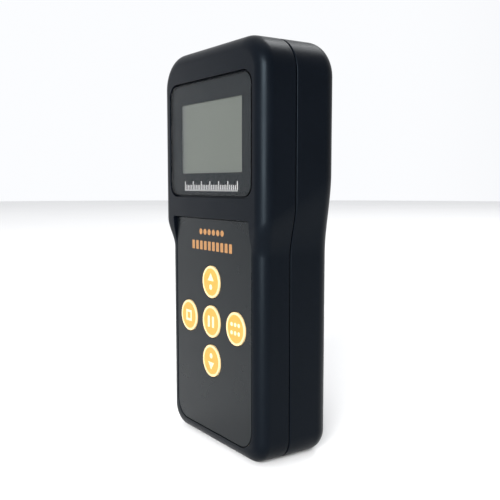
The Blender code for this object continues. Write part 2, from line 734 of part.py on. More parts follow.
def make_key(name, x, z):
    """A round cap on a stem that ends in the switch's plunger. Its origin is on its axis."""
    radius = KEY_DIAMETER / 2
    cap_back = -(FILM_RECESS - KEY_TRAVEL - 0.1 * MM)
    stem_end = -(BOARD_DEPTH - GAP - SWITCH_HEIGHT - KEY_TRAVEL - 0.2 * MM)
    plunger_end = stem_end - 1.0 * MM
    profile = [
        (0, KEY_PROUD), (radius - 0.5 * MM, KEY_PROUD), (radius, KEY_PROUD - 0.35 * MM),
        (radius, cap_back), (KEY_STEM_RADIUS, cap_back),
        (KEY_STEM_RADIUS, stem_end), (PLUNGER_RADIUS, stem_end),
        (PLUNGER_RADIUS, plunger_end), (0, plunger_end),
    ]
    turned(f"key_{name}", profile, KEY_ORANGE, (x, BODY_FACE, z), FACING_FRONT, steps=CIRCLE_STEPS)


def make_switch(name, x, z):
    """A low square can with a round hole that the key's plunger runs in."""
    half = SWITCH_SIZE / 2
    back = BOARD_FRONT - GAP
    can = block(f"switch_{name}", (-half, back - SWITCH_HEIGHT, -half), (half, back, half))
    can = place(f"switch_{name}", can, SWITCH_METAL, (x, 0, z))
    before_can = back - SWITCH_HEIGHT - 1 * MM
    hole = rods(f"plunger_hole_{name}", [(x, z)], PLUNGER_RADIUS + GAP, before_can, back - 0.4 * MM, 16)
    boolean(can, "DIFFERENCE", cutter(f"plunger_hole_{name}", hole))


# ---------------------------------------------------------------- circuit board and what it carries
def make_board():
    half = BOARD_HALF_WIDTH
    wide = BOARD_HEAD_HALF_WIDTH
    outline = [
        (half, BOARD_LOW), (half, BOARD_NECK_Z), (wide, BOARD_NECK_Z + 3 * MM), (wide, BOARD_HIGH),
        (-wide, BOARD_HIGH), (-wide, BOARD_NECK_Z + 3 * MM), (-half, BOARD_NECK_Z), (-half, BOARD_LOW),
    ]
    board = place("main_board", prism("main_board", outline, BOARD_FRONT, BOARD_BACK), BOARD_GREEN)
    places = in_metres(BOARD_SCREW_PLACES)
    holes = rods("board_holes", places, BOARD_HOLE_RADIUS, BOARD_FRONT - 1 * MM, BOARD_BACK + 1 * MM, 16)
    boolean(board, "DIFFERENCE", cutter("board_holes", holes))


def make_screws(name, places, head_seat, head_radius, head_height, shank_radius, shank_length):
    """Screws along Y with round sockets, heads towards the back. head_seat is the plane under the heads."""
    socket = head_radius * 0.4
    profile = [
        (0, head_height * 0.45), (socket, head_height * 0.45), (socket, head_height),
        (head_radius * 0.8, head_height), (head_radius, head_height * 0.7), (head_radius, 0),
        (shank_radius, 0), (shank_radius, -shank_length + shank_radius), (0, -shank_length),
    ]
    for i, (x, z) in enumerate(in_metres(places), 1):
        turned(f"{name}_{i}", profile, STEEL, (x, head_seat, z), FACING_BACK, steps=12)


def make_detector():
    """The geiger tube: a glass cylinder with a metal cap at each end, held by two clips."""
    half = TUBE_GLASS_LENGTH / 2
    glass = [
        (0, half), (TUBE_RADIUS - 1.2 * MM, half), (TUBE_RADIUS, half - 1.2 * MM),
        (TUBE_RADIUS, -half + 1.2 * MM), (TUBE_RADIUS - 1.2 * MM, -half), (0, -half),
    ]
    turned("geiger_tube", glass, TUBE_GLASS, (TUBE_X, TUBE_Y, TUBE_Z))
    sleeve = [
        (SLEEVE_RADIUS, SLEEVE_LENGTH / 2), (SLEEVE_RADIUS, -SLEEVE_LENGTH / 2),
        (TUBE_RADIUS + GAP, -SLEEVE_LENGTH / 2), (TUBE_RADIUS + GAP, SLEEVE_LENGTH / 2),
    ]
    turned("compensation_sleeve", sleeve, TIN, (TUBE_X, TUBE_Y, TUBE_Z), closed=True)
    cap_z = half + GAP + TUBE_CAP_LENGTH / 2
    cap_half = TUBE_CAP_LENGTH / 2
    cap = [
        (0, cap_half), (TUBE_CAP_RADIUS - 0.5 * MM, cap_half), (TUBE_CAP_RADIUS, cap_half - 0.5 * MM),
        (TUBE_CAP_RADIUS, -cap_half), (0, -cap_half),
    ]
    upside_down = (math.radians(180), 0, 0)
    turned("tube_anode_cap", cap, TUBE_BRASS, (TUBE_X, TUBE_Y, TUBE_Z + cap_z))
    turned("tube_cathode_cap", cap, TUBE_BRASS, (TUBE_X, TUBE_Y, TUBE_Z - cap_z), upside_down)
    make_clip("tube_anode_clip", TUBE_Z + cap_z)
    make_clip("tube_cathode_clip", TUBE_Z - cap_z)


def make_clip(name, z):
    """A spring clip: an open ring round the tube's cap, on a foot that stands on the board."""
    inner = TUBE_CAP_RADIUS + GAP
    outer = inner + CLIP_THICKNESS
    outside = arc(0, 0, outer, 50, -230, 14)
    inside = arc(0, 0, inner, -230, 50, 14)
    width = CLIP_HALF_WIDTH
    ring = slide(name, outside + inside, -width, width)
    clip = place(name, ring, SPRING_STEEL, (TUBE_X, TUBE_Y, z))
    foot_top = -(inner + 0.25 * MM)
    foot_bottom = BOARD_BACK + GAP - TUBE_Y
    foot_half = CLIP_FOOT_HALF_WIDTH
    foot = block(f"{name}_foot", (-foot_half, foot_bottom, -width), (foot_half, foot_top, width))
    boolean(clip, "UNION", cutter(f"{name}_foot", foot, (TUBE_X, TUBE_Y, z)))


def make_component(name, finish, x, z, width, height, thickness):
    """A small box-shaped component on the back of the board."""
    front = BOARD_BACK + GAP
    body = block(name, (-width / 2, 0, -height / 2), (width / 2, thickness, height / 2))
    part = place(name, body, finish, (x, front, z))
    bevel(part, min(width, height, thickness) * 0.12)


def make_components():
    make_component("hv_transformer", FERRITE, 3 * MM, 82 * MM, 14 * MM, 12 * MM, 9 * MM)
    make_component("hv_capacitor_1", CAPACITOR_RED, 19 * MM, 79 * MM, 12 * MM, 5 * MM, 9 * MM)
    make_component("hv_capacitor_2", CAPACITOR_RED, 19 * MM, 88 * MM, 12 * MM, 5 * MM, 9 * MM)
    make_component("microcontroller", CHIP_BLACK, 2 * MM, 102 * MM, 10 * MM, 10 * MM, 1.5 * MM)
    make_component("crystal", STEEL, 2 * MM, 113 * MM, 10 * MM, 4 * MM, 3.5 * MM)
    front = BOARD_BACK + GAP
    can = [(0, 8 * MM), (2.7 * MM, 8 * MM), (3.15 * MM, 7.5 * MM), (3.15 * MM, 0), (0, 0)]
    turned("smoothing_capacitor", can, CAPACITOR_SLEEVE, (2 * MM, front, 124 * MM), FACING_BACK, steps=20)
    buzzer = [
        (0, BUZZER_HEIGHT - 2 * MM), (1 * MM, BUZZER_HEIGHT - 2 * MM), (1 * MM, BUZZER_HEIGHT),
        (BUZZER_RADIUS - 0.5 * MM, BUZZER_HEIGHT), (BUZZER_RADIUS, BUZZER_HEIGHT - 0.5 * MM),
        (BUZZER_RADIUS, 0), (0, 0),
    ]
    turned("buzzer", buzzer, BUZZER_BLACK, (BUZZER_X, front, BUZZER_Z), FACING_BACK)


# ---------------------------------------------------------------- battery bay
def make_cell(name, x, upright):
    """A round cell, with its raised pole at the top where upright."""
    pole = 1.4 * MM
    can_top = CELL_LENGTH - pole
    profile = [
        (0, CELL_LENGTH), (2.5 * MM, CELL_LENGTH), (2.5 * MM, can_top), (CELL_RADIUS - 0.6 * MM, can_top),
        (CELL_RADIUS, can_top - 0.6 * MM), (CELL_RADIUS, 0.4 * MM), (CELL_RADIUS - 0.4 * MM, 0), (0, 0),
    ]
    if upright:
        turned(name, profile, CELL_SLEEVE, (x, CELL_Y, CELL_LOW))
    else:
        turned(name, profile, CELL_SLEEVE, (x, CELL_Y, CELL_LOW + CELL_LENGTH), (math.radians(180), 0, 0))


def make_contact_spring(name, x, plate_z, cell_z):
    """A coil that narrows from its plate to the cell's end."""
    turns = 3
    steps_per_turn = 10
    wire = 0.3 * MM
    curve = bpy.data.curves.new(name, "CURVE")
    curve.dimensions = "3D"
    curve.bevel_depth = wire
    curve.bevel_resolution = 2
    curve.use_fill_caps = True
    count = int(turns * steps_per_turn) + 1
    towards_cell = math.copysign(wire, cell_z - plate_z)
    first = plate_z + towards_cell
    last = cell_z - towards_cell
    spline = curve.splines.new("POLY")
    spline.points.add(count - 1)
    for i, point in enumerate(spline.points):
        share = i / (count - 1)
        angle = math.tau * turns * share
        radius = (4.5 - 2.0 * share) * MM
        z = first + (last - first) * share
        point.co = (radius * math.cos(angle), radius * math.sin(angle), z, 1)
    place(name, curve, SPRING_STEEL, (x, CELL_Y, 0))


def make_contact_plate(name, low_x, high_x, z, button_x, button_height):
    """A flat contact at an end of the bay. Its raised button points along Z as button_height's sign says."""
    half = CONTACT_THICKNESS / 2
    front = CELL_Y - CONTACT_HALF_DEPTH
    back = CELL_Y + CONTACT_HALF_DEPTH
    plate = block(name, (low_x, front, z - half), (high_x, back, z + half))
    part = place(name, plate, SPRING_STEEL)
    if button_height:
        ends = sorted((z, z + button_height))
        bm = bmesh.new()
        made = bmesh.ops.create_cone(
            bm,
            cap_ends=True,
            segments=20,
            radius1=CONTACT_BUTTON_RADIUS,
            radius2=CONTACT_BUTTON_RADIUS,
            depth=ends[1] - ends[0],
        )
        bmesh.ops.translate(bm, vec=(button_x, CELL_Y, sum(ends) / 2), verts=made["verts"])
        boolean(part, "UNION", cutter(f"{name}_button", finish_mesh(f"{name}_button", bm)))


def make_battery_bay():
    make_cell("battery_left", -CELL_X, True)
    make_cell("battery_right", CELL_X, False)
    cell_high = CELL_LOW + CELL_LENGTH
    plate_face = CONTACT_THICKNESS / 2 + GAP
    low_plate = BAY_LOW + plate_face
    high_plate = BAY_HIGH - plate_face
    outer = BAY_HALF_WIDTH - CONTACT_SIDE_GAP
    inner = CONTACT_MIDDLE_GAP
    button = CELL_LOW - GAP - low_plate
    make_contact_plate("contact_bridge", -outer, outer, low_plate, CELL_X, button)
    top_button = cell_high + GAP - high_plate
    make_contact_plate("contact_positive", -outer, -inner, high_plate, -CELL_X, top_button)
    make_contact_plate("contact_negative", inner, outer, high_plate, CELL_X, 0)
    make_contact_spring("contact_spring_left", -CELL_X, low_plate + plate_face, CELL_LOW - GAP)
    make_contact_spring("contact_spring_right", CELL_X, high_plate - plate_face, cell_high + GAP)


# ---------------------------------------------------------------- the whole instrument
make_front_shell()
make_rear_shell()
make_battery_door()
make_window()
make_display()
make_film()
for key_name, (key_x, key_z) in key_places().items():
    make_key(key_name, key_x, key_z)
    make_switch(key_name, key_x, key_z)
make_board()
make_screws(
    "case_screw", CASE_SCREW_PLACES, BACK - SCREW_HEAD_DEPTH + GAP, 2.8 * MM, 2.0 * MM, 1.3 * MM, 18.5 * MM
)
make_screws("board_screw", BOARD_SCREW_PLACES, BOARD_BACK + GAP, 1.8 * MM, 1.2 * MM, 0.7 * MM, 4.0 * MM)
make_detector()
make_components()
make_battery_bay()
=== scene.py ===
"""Looks of a handheld geiger counter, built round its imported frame.

X is the instrument's width, +Y points from its face to its back, and Z is its length, upwards. The fine
outer pieces stand for the frame's plain ones and ride on the same bodies. The pieces inside keep their
shape and get finishes of their own. Planes and places that the frame holds are read from it.
"""

import math

import bmesh
import bpy
from mathutils import Matrix, Vector


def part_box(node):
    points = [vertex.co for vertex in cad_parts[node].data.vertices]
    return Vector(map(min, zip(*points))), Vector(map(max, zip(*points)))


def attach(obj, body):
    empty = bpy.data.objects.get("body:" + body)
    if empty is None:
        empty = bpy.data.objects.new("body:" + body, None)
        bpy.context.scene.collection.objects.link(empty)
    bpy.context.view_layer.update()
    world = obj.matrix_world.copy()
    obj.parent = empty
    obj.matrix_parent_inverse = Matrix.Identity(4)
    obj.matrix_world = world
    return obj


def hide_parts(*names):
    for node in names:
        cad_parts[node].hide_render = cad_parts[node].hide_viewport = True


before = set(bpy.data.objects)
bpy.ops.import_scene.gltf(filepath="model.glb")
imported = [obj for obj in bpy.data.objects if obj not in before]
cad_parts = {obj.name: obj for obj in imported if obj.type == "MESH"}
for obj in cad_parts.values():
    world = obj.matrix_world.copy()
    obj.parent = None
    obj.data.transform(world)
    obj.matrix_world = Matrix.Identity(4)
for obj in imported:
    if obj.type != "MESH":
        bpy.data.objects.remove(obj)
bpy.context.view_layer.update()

MM = 0.001

# ---------------------------------------------------------------- planes and places, from the frame
FRONT_LOW, FRONT_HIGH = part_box("front_shell")
REAR_LOW, REAR_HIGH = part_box("rear_shell")
FOIL_LOW, FOIL_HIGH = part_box("keypad_film")
LENS_LOW, LENS_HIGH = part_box("window_lens")
MASK_LOW, MASK_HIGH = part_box("window_mask")
DOOR_LOW, DOOR_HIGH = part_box("battery_door")
BUZZER_LOW, BUZZER_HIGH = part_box("buzzer")
CELL_LOW, CELL_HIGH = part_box("battery_left")
RIGHT_CELL_LOW, RIGHT_CELL_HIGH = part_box("battery_right")
BRIDGE_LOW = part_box("contact_bridge")[0]
PLATE_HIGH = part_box("contact_positive")[1]
BOARD_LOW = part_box("main_board")[0]
KEY_LOW, KEY_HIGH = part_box("key_enter")
SCREW_LOW, SCREW_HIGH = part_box("case_screw_1")
KEYS = ("up", "left", "enter", "right", "down")

HEAD_FACE = FRONT_LOW.y
BACK = REAR_HIGH.y
DEPTH = BACK - HEAD_FACE
LENGTH = FRONT_HIGH.z
HEAD_HALF = FRONT_HIGH.x

# ---------------------------------------------------------------- the case's own sizes
BODY_HALF = 31.5 * MM
HEAD_PROUD = 1.4 * MM
SHOULDER_LOW = 72.5 * MM
SHOULDER_HIGH_FACE = 83.7 * MM
SHOULDER_HIGH_BACK = 102.0 * MM
TOP_CORNER = 13.0 * MM
BASE_CORNER = 8.5 * MM
FACE_ROUND = 5.0 * MM
BACK_ROUND = 6.2 * MM
WALL = 2.2 * MM
SEAM_GAP = 0.46 * MM
SEAM_ROUND = 0.35 * MM
TONGUE_HEIGHT = 1.5 * MM
TONGUE_INSET = 1.05 * MM
GROOVE_INSET = 0.85 * MM
GAP = 0.3 * MM
PAST = 1.0 * MM                # how far a cutter runs past what it cuts
BODY_FACE = HEAD_FACE + HEAD_PROUD
SEAM_DEPTH = REAR_LOW.y - GAP / 2 - HEAD_FACE
SEAM = HEAD_FACE + SEAM_DEPTH

# the window, its print and the display behind them
WINDOW_CORNER = 4.5 * MM
WINDOW_GAP = 0.7 * MM
WINDOW_LIP = 0.12 * MM
SHEET_FRONT_ROUND = 0.18 * MM
SHEET_BACK_ROUND = 0.05 * MM
SHEET_SIDE_FACING = 0.85       # a sheet's face is a side when its normal has less than this along Y
PRINT_INSET = 0.05 * MM
WINDOW_Z = (LENS_LOW.z + LENS_HIGH.z) / 2
VIEW_WIDTH = 42.0 * MM
VIEW_HEIGHT = 25.8 * MM
VIEW_Z = 114.2 * MM
VIEW_CORNER = 0.25 * MM
# the display's painted shadow of the print's left edge fades out between these
LCD_SHADE_START = -21.0 * MM
LCD_SHADE_END = -17.8 * MM
# the display's painted highlight along its right rim fades in between these
LCD_HIGHLIGHT_START = 19.6 * MM
LCD_HIGHLIGHT_END = 20.2 * MM
LEDGE_FRONT = MASK_HIGH.y + 0.1 * MM
LEDGE_BACK = LEDGE_FRONT + 1.4 * MM
LEDGE_WIDTH = 46.5 * MM
LEDGE_HEIGHT = 30.0 * MM
LEDGE_CORNER = 0.8 * MM

# the keypad foil and its recess
FOIL_CORNER = 7.0 * MM
FOIL_TOP_CORNER = 0.5 * MM
FOIL_GAP = 0.3 * MM
FOIL_LIP = 0.25 * MM
FOIL_ROUND = 0.12 * MM
RECESS_FLOOR = BODY_FACE + 1.0 * MM

# the keys
KEY_RADIUS = (KEY_HIGH.x - KEY_LOW.x) / 2
KEY_GAP = 0.2 * MM
KEY_HOLE_LIP = 0.2 * MM
KEY_ROUND = 0.3 * MM
KEY_RIM = KEY_RADIUS - 0.95 * MM
KEY_RIM_SLOPE = 0.3 * MM
KEY_CAP_BACK = RECESS_FLOOR - 0.5 * MM
STEM_RADIUS = 2.5 * MM
STEM_HOLE_RADIUS = 2.9 * MM
STEM_HOLE_END = BODY_FACE + 4.0 * MM
PLUNGER_RADIUS = 1.4 * MM
PLUNGER_LENGTH = 1.0 * MM
PLUNGER_CHAMFER = 0.2 * MM

# the printed marks
MARK_HEIGHT = 0.03 * MM
LEGEND_HEIGHT = 0.02 * MM
LEGEND_DROP = 0.09 * MM
MARK_SUNK = 0.05 * MM
MARK_CIRCLE_STEPS = 24
SCALE_BASE = 94.7 * MM
SCALE_WIDTH = 37.2 * MM
SCALE_LINE = 0.5 * MM
SCALE_STROKES = 31
SCALE_PITCH = 1.22 * MM
STROKE_WIDTH = 0.6 * MM
STROKE_HEIGHT = 2.3 * MM
TALL_STROKE_HEIGHT = 3.6 * MM
TALL_STROKE_EVERY = 5
DOT_COUNT = 6
DOT_RADIUS = 1.1 * MM
DOT_PITCH = 3.0 * MM
DOT_Z = 79.6 * MM
BAR_COUNT = 10
BAR_PITCH = 2.9 * MM
BAR_Z = 74.5 * MM
BAR_SIZE = (1.9 * MM, 3.3 * MM)
BAR_CORNER = 0.25 * MM

# the front shell's inner side
KEYPAD_BACKING_SIDE = 1.1 * MM
KEYPAD_BACKING_FRONT = BODY_FACE + 0.8 * MM
KEYPAD_BACKING_BACK = BODY_FACE + 2.5 * MM
KEYPAD_BACKING_LOW = FOIL_LOW.z - 0.1 * MM
KEYPAD_BACKING_HIGH = LENS_LOW.z - 1.7 * MM
WINDOW_BACKING_SIDE = 1.5 * MM
WINDOW_BACKING_FRONT = HEAD_FACE + 1.7 * MM
WINDOW_BACKING_LOW = LENS_LOW.z - 2.3 * MM
WINDOW_BACKING_HIGH = LENS_HIGH.z + 1.9 * MM
BOSS_RADIUS = 3.2 * MM
BOSS_START = BODY_FACE + 0.4 * MM
BOSS_END = BODY_FACE + 16.0 * MM
BOSS_HOLE_RADIUS = 1.5 * MM
BOSS_HOLE_START = BODY_FACE + 7.5 * MM
POST_RADIUS = 2.2 * MM
POST_START = BODY_FACE + 0.5 * MM
POST_HOLE_RADIUS = 0.9 * MM
POST_HOLE_START = BODY_FACE + 3.0 * MM

# the rear shell's battery bay, columns and holes
BAY_HALF = CELL_HIGH.x - CELL_LOW.x + 1.2 * MM
BAY_FRONT = CELL_LOW.y - 0.3 * MM
BAY_LOW = BRIDGE_LOW.z - GAP
BAY_HIGH = PLATE_HIGH.z + GAP
BAY_WALL = 1.5 * MM
BAY_OUTER_HALF = 20.9 * MM
BAY_START = 3.0 * MM
BAY_TOP_EXTRA = 2.0 * MM
FOOT_SIDE_INSET = 1.0 * MM
FOOT_DEPTH_INSET = 3.0 * MM
FOOT_LOW = 1.6 * MM
FOOT_HIGH = 6.0 * MM
COLUMN_RADIUS = 4.2 * MM
SCREW_HOLE_RADIUS = 1.6 * MM
HEAD_HOLE_RADIUS = 3.1 * MM
HEAD_HOLE_DEPTH = 4.0 * MM
HEAD_HOLE_LIP = 0.3 * MM
SOUND_HOLE_RADIUS = 0.8 * MM
SOUND_HOLE_LIP = 0.2 * MM
SOUND_RING_RADIUS = 3.2 * MM
SOUND_RING_HOLES = 6

# the blank label and its recess
LABEL_WIDTH = 37.0 * MM
LABEL_HEIGHT = 15.0 * MM
LABEL_CORNER = 1.6 * MM
LABEL_Z = 86.0 * MM
LABEL_EDGE = 0.06 * MM
LABEL_BELOW_BACK = 0.15 * MM
LABEL_GAP = 0.5 * MM
LABEL_LIFT = 0.01 * MM
LABEL_RECESS_DEPTH = 0.4 * MM
LABEL_RECESS_CORNER = 2.0 * MM
LABEL_RECESS_LIP = 0.2 * MM

# the battery door and its grip grooves
DOOR_TONGUE = 1.2 * MM
DOOR_TONGUE_THICKNESS = 0.9 * MM
DOOR_CHAMFER = 0.25 * MM
GRIP_COUNT = 5
GRIP_LOW = 50.5 * MM
GRIP_PITCH = 2.4 * MM
GRIP_HALF = 7.4 * MM
GRIP_RADIUS = 0.62 * MM
GRIP_STEPS = 6
GROOVE_CIRCLE_STEPS = 24
SMALLEST_RADIUS = 0.001 * MM

# the case's screws
SCREW_RADIUS = (SCREW_HIGH.x - SCREW_LOW.x) / 2
SHANK_RADIUS = 0.46 * SCREW_RADIUS
SCREW_HEAD_HEIGHT = 2.0 * MM
CROSS_LONG = 1.55 * MM
CROSS_SHORT = 0.36 * MM
CROSS_DEPTH = 1.1 * MM
CROSS_FLOOR_SHARE = 0.35

# the cells, their springs and contact plates
CELL_POLE_HEIGHT = 1.4 * MM
CELL_POLE_RADIUS = 2.75 * MM
CELL_BASE_ROUND = 0.5 * MM
CELL_RIM_ROUND = 0.6 * MM
CELL_RIM_WIDTH = 1.3 * MM
CELL_RIM_STEP = 0.2 * MM
CELL_DISH_DEPTH = 0.12 * MM
CELL_DISH_RADIUS = 5.2 * MM
CELL_BAND_SHARE = 0.7
CELL_BAND_STEP = 0.01 * MM
CELL_LEFT_X = (CELL_LOW.x + CELL_HIGH.x) / 2
CELL_RIGHT_X = (RIGHT_CELL_LOW.x + RIGHT_CELL_HIGH.x) / 2
CELL_Y = (CELL_LOW.y + CELL_HIGH.y) / 2
SPRING_WIRE = 0.3 * MM
SPRING_TURNS = 3
SPRING_WIDE = 4.5 * MM
SPRING_NARROW = 2.5 * MM
CONTACT_THICKNESS = 0.5 * MM
CONTACT_CORNER = 1.2 * MM
CONTACT_EDGE = 0.12 * MM
BUTTON_RADIUS = 2.6 * MM

# steps along curves
ARC_STEPS = 20
ROUND_STEPS = 14
SHOULDER_STEPS = 32
CIRCLE_STEPS = 96
TURNED_STEPS = 48
LIP_STEPS = 5
SMALL_CORNER_STEPS = 3
SPRING_STEPS = 120
LIP_START = 15                 # degrees from its face at which a recess's rounded lip starts
HARD_EDGE = 35                 # degrees between faces past which an edge stays sharp
TURNED_HARD_EDGE = 50


# ---------------------------------------------------------------- outlines, in (x, z) points
def arc(centre_x, centre_z, radius, start, end, steps):
    """Points round a centre, with the angles in degrees from +X towards +Z."""
    points = []
    for i in range(steps + 1):
        angle = math.radians(start + (end - start) * i / steps)
        points.append((centre_x + radius * math.cos(angle), centre_z + radius * math.sin(angle)))
    return points


def rounded_rectangle(width, height, corner, centre_x=0.0, centre_z=0.0, steps=ARC_STEPS):
    x = width / 2 - corner
    z = height / 2 - corner
    points = []
    for sign_x, sign_z, start in ((1, 1, 0), (-1, 1, 90), (-1, -1, 180), (1, -1, 270)):
        points += arc(centre_x + sign_x * x, centre_z + sign_z * z, corner, start, start + 90, steps)
    return points


def circle(radius, x=0.0, z=0.0, steps=CIRCLE_STEPS):
    return arc(x, z, radius, 0, 360 * (steps - 1) / steps, steps - 1)


def along(low, high, steps):
    return [low + (high - low) * i / steps for i in range(steps + 1)]


def window_outline(margin):
    grown = 2 * margin
    width = LENS_HIGH.x - LENS_LOW.x + grown
    height = LENS_HIGH.z - LENS_LOW.z + grown
    return rounded_rectangle(width, height, WINDOW_CORNER + margin, 0, WINDOW_Z)


def foil_outline(margin):
    """Wide corners at the bottom, small ones at the top, and points along the sides where the cheeks rise."""
    half = FOIL_HIGH.x + margin
    top = FOIL_HIGH.z + margin
    bottom = FOIL_LOW.z - margin
    corner = FOIL_CORNER + margin
    small = FOIL_TOP_CORNER + margin
    rising = along(SHOULDER_LOW - 1 * MM, top - small, SHOULDER_STEPS)[:-1]
    points = [(half, z) for z in rising]
    points += arc(half - small, top - small, small, 0, 90, LIP_STEPS)
    points += arc(-half + small, top - small, small, 90, 180, LIP_STEPS)
    points += [(-half, z) for z in reversed(rising)]
    points += arc(-half + corner, bottom + corner, corner, 180, 270, ARC_STEPS)
    points += arc(half - corner, bottom + corner, corner, 270, 360, ARC_STEPS)
    return points


# ---------------------------------------------------------------- meshes
def to_mesh(name, bm, sharp=HARD_EDGE):
    bmesh.ops.recalc_face_normals(bm, faces=bm.faces)
    mesh = bpy.data.meshes.new(name)
    bm.to_mesh(mesh)
    bm.free()
    mesh.shade_smooth()
    mesh.set_sharp_from_angle(angle=math.radians(sharp))
    return mesh


def add_skin(bm, rings, caps=True):
    """Adds a skin over rings of points that match one to one, closed by a face at each end."""
    loops = [[bm.verts.new(point) for point in ring] for ring in rings]
    count = len(loops[0])
    for loop, following in zip(loops, loops[1:]):
        for i in range(count):
            j = (i + 1) % count
            bm.faces.new((loop[i], loop[j], following[j], following[i]))
    if caps:
        bm.faces.new(loops[0])
        bm.faces.new(loops[-1])


def skin(name, rings):
    bm = bmesh.new()
    add_skin(bm, rings)
    return to_mesh(name, bm)


def ring_at(outline, y):
    return [(x, y, z) for x, z in outline]


def edge_steps(radius):
    """(margin, drop) steps of a rounded edge, from its flat face to its side. A sharp edge has one step."""
    angles = along(0, 90, LIP_STEPS) if radius else [90]
    steps = []
    for angle in map(math.radians, angles):
        steps.append((-radius * (1 - math.sin(angle)), radius * (1 - math.cos(angle))))
    return steps


def plate(name, outline_of, front, back, front_round=0.0, back_round=0.0):
    """A plate across Y with rounded edges. outline_of takes a margin and gives the outline grown by it."""
    rings = [ring_at(outline_of(margin), front + drop) for margin, drop in edge_steps(front_round)]
    rings += [ring_at(outline_of(margin), back - drop) for margin, drop in reversed(edge_steps(back_round))]
    return skin(name, rings)


def recess(name, outline_of, floor, lip, surface, facing):
    """A cutter for a recess whose rim is rounded, from outside a face to the recess's floor.

    facing is -1 on the front and 1 on the back, and surface gives the y of the face at a point.
    """
    outside = 3 * PAST * facing
    rings = []
    for i in range(LIP_STEPS + 1):
        angle = math.radians(LIP_START + (90 - LIP_START) * i / LIP_STEPS)
        margin = lip * (1 - math.sin(angle))
        drop = lip * (1 - math.cos(angle)) * facing
        rings.append([(x, surface(x, z) - drop, z) for x, z in outline_of(margin)])
    first = [(x, y + outside, z) for x, y, z in rings[0]]
    last = ring_at(outline_of(0), floor)
    return skin(name, [first, *rings, last])


def block(name, low, high):
    bm = bmesh.new()
    bmesh.ops.create_cube(bm, size=1.0)
    low, high = Vector(low), Vector(high)
    bmesh.ops.scale(bm, vec=high - low, verts=bm.verts)
    bmesh.ops.translate(bm, vec=(low + high) / 2, verts=bm.verts)
    return to_mesh(name, bm)


def rods(name, places, radius, front, back, steps=32):
    """Round rods along Y, one at each place, in one mesh."""
    bm = bmesh.new()
    for x, z in places:
        outline = circle(radius, x, z, steps)
        add_skin(bm, [ring_at(outline, front), ring_at(outline, back)])
    return to_mesh(name, bm)


def slide(name, profile, low, high):
    """A section in the XY plane, extruded along Z."""
    return skin(name, [[(x, y, z) for x, y in profile] for z in (low, high)])


def lathe(name, profile, x, z, steps=CIRCLE_STEPS):
    """A body turned round a line along Y at (x, z), from (radius, y) points with radius 0 at both ends."""
    bm = bmesh.new()
    rings = [ring_at(circle(radius, x, z, steps), y) for radius, y in profile[1:-1]]
    add_skin(bm, rings, caps=False)
    bm.verts.ensure_lookup_table()
    for ring_start, (_, y) in ((0, profile[0]), (len(bm.verts) - steps, profile[-1])):
        pole = bm.verts.new((x, y, z))
        bm.verts.ensure_lookup_table()
        for i in range(steps):
            bm.faces.new((bm.verts[ring_start + i], bm.verts[ring_start + (i + 1) % steps], pole))
    return to_mesh(name, bm, TURNED_HARD_EDGE)


def solid(name, base, *steps):
    """A mesh that others are joined to and cut from. Each step is a Boolean's operation and its mesh."""
    work = bpy.data.objects.new(name, base)
    bpy.context.collection.objects.link(work)
    tools = []
    for operation, mesh in steps:
        tool = bpy.data.objects.new(mesh.name, mesh)
        bpy.context.collection.objects.link(tool)
        modifier = work.modifiers.new(mesh.name, "BOOLEAN")
        modifier.operation = operation
        modifier.solver = "EXACT"
        modifier.object = tool
        tools.append(tool)
    evaluated = work.evaluated_get(bpy.context.evaluated_depsgraph_get())
    made = bpy.data.meshes.new_from_object(evaluated)
    made.name = name
    for used in (work, *tools):
        bpy.data.objects.remove(used)
    made.materials.clear()
    made.shade_smooth()
    made.set_sharp_from_angle(angle=math.radians(HARD_EDGE))
    return made


def moved(mesh, offset):
    copy = mesh.copy()
    copy.transform(Matrix.Translation(offset))
    return copy


def piece(name, mesh, finish, body, slot, *replaced, even=True):
    """Puts a mesh in the scene as a piece that rides on a body."""
    made = bpy.data.objects.new(name, mesh)
    bpy.context.collection.objects.link(made)
    if finish is not None:
        mesh.materials.clear()
        mesh.materials.append(finish)
    if even:
        normals = made.modifiers.new("even shading", "WEIGHTED_NORMAL")
        normals.keep_sharp = True
        normals.weight = 75
    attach(made, body)
    if replaced:
        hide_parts(*replaced)
    return made


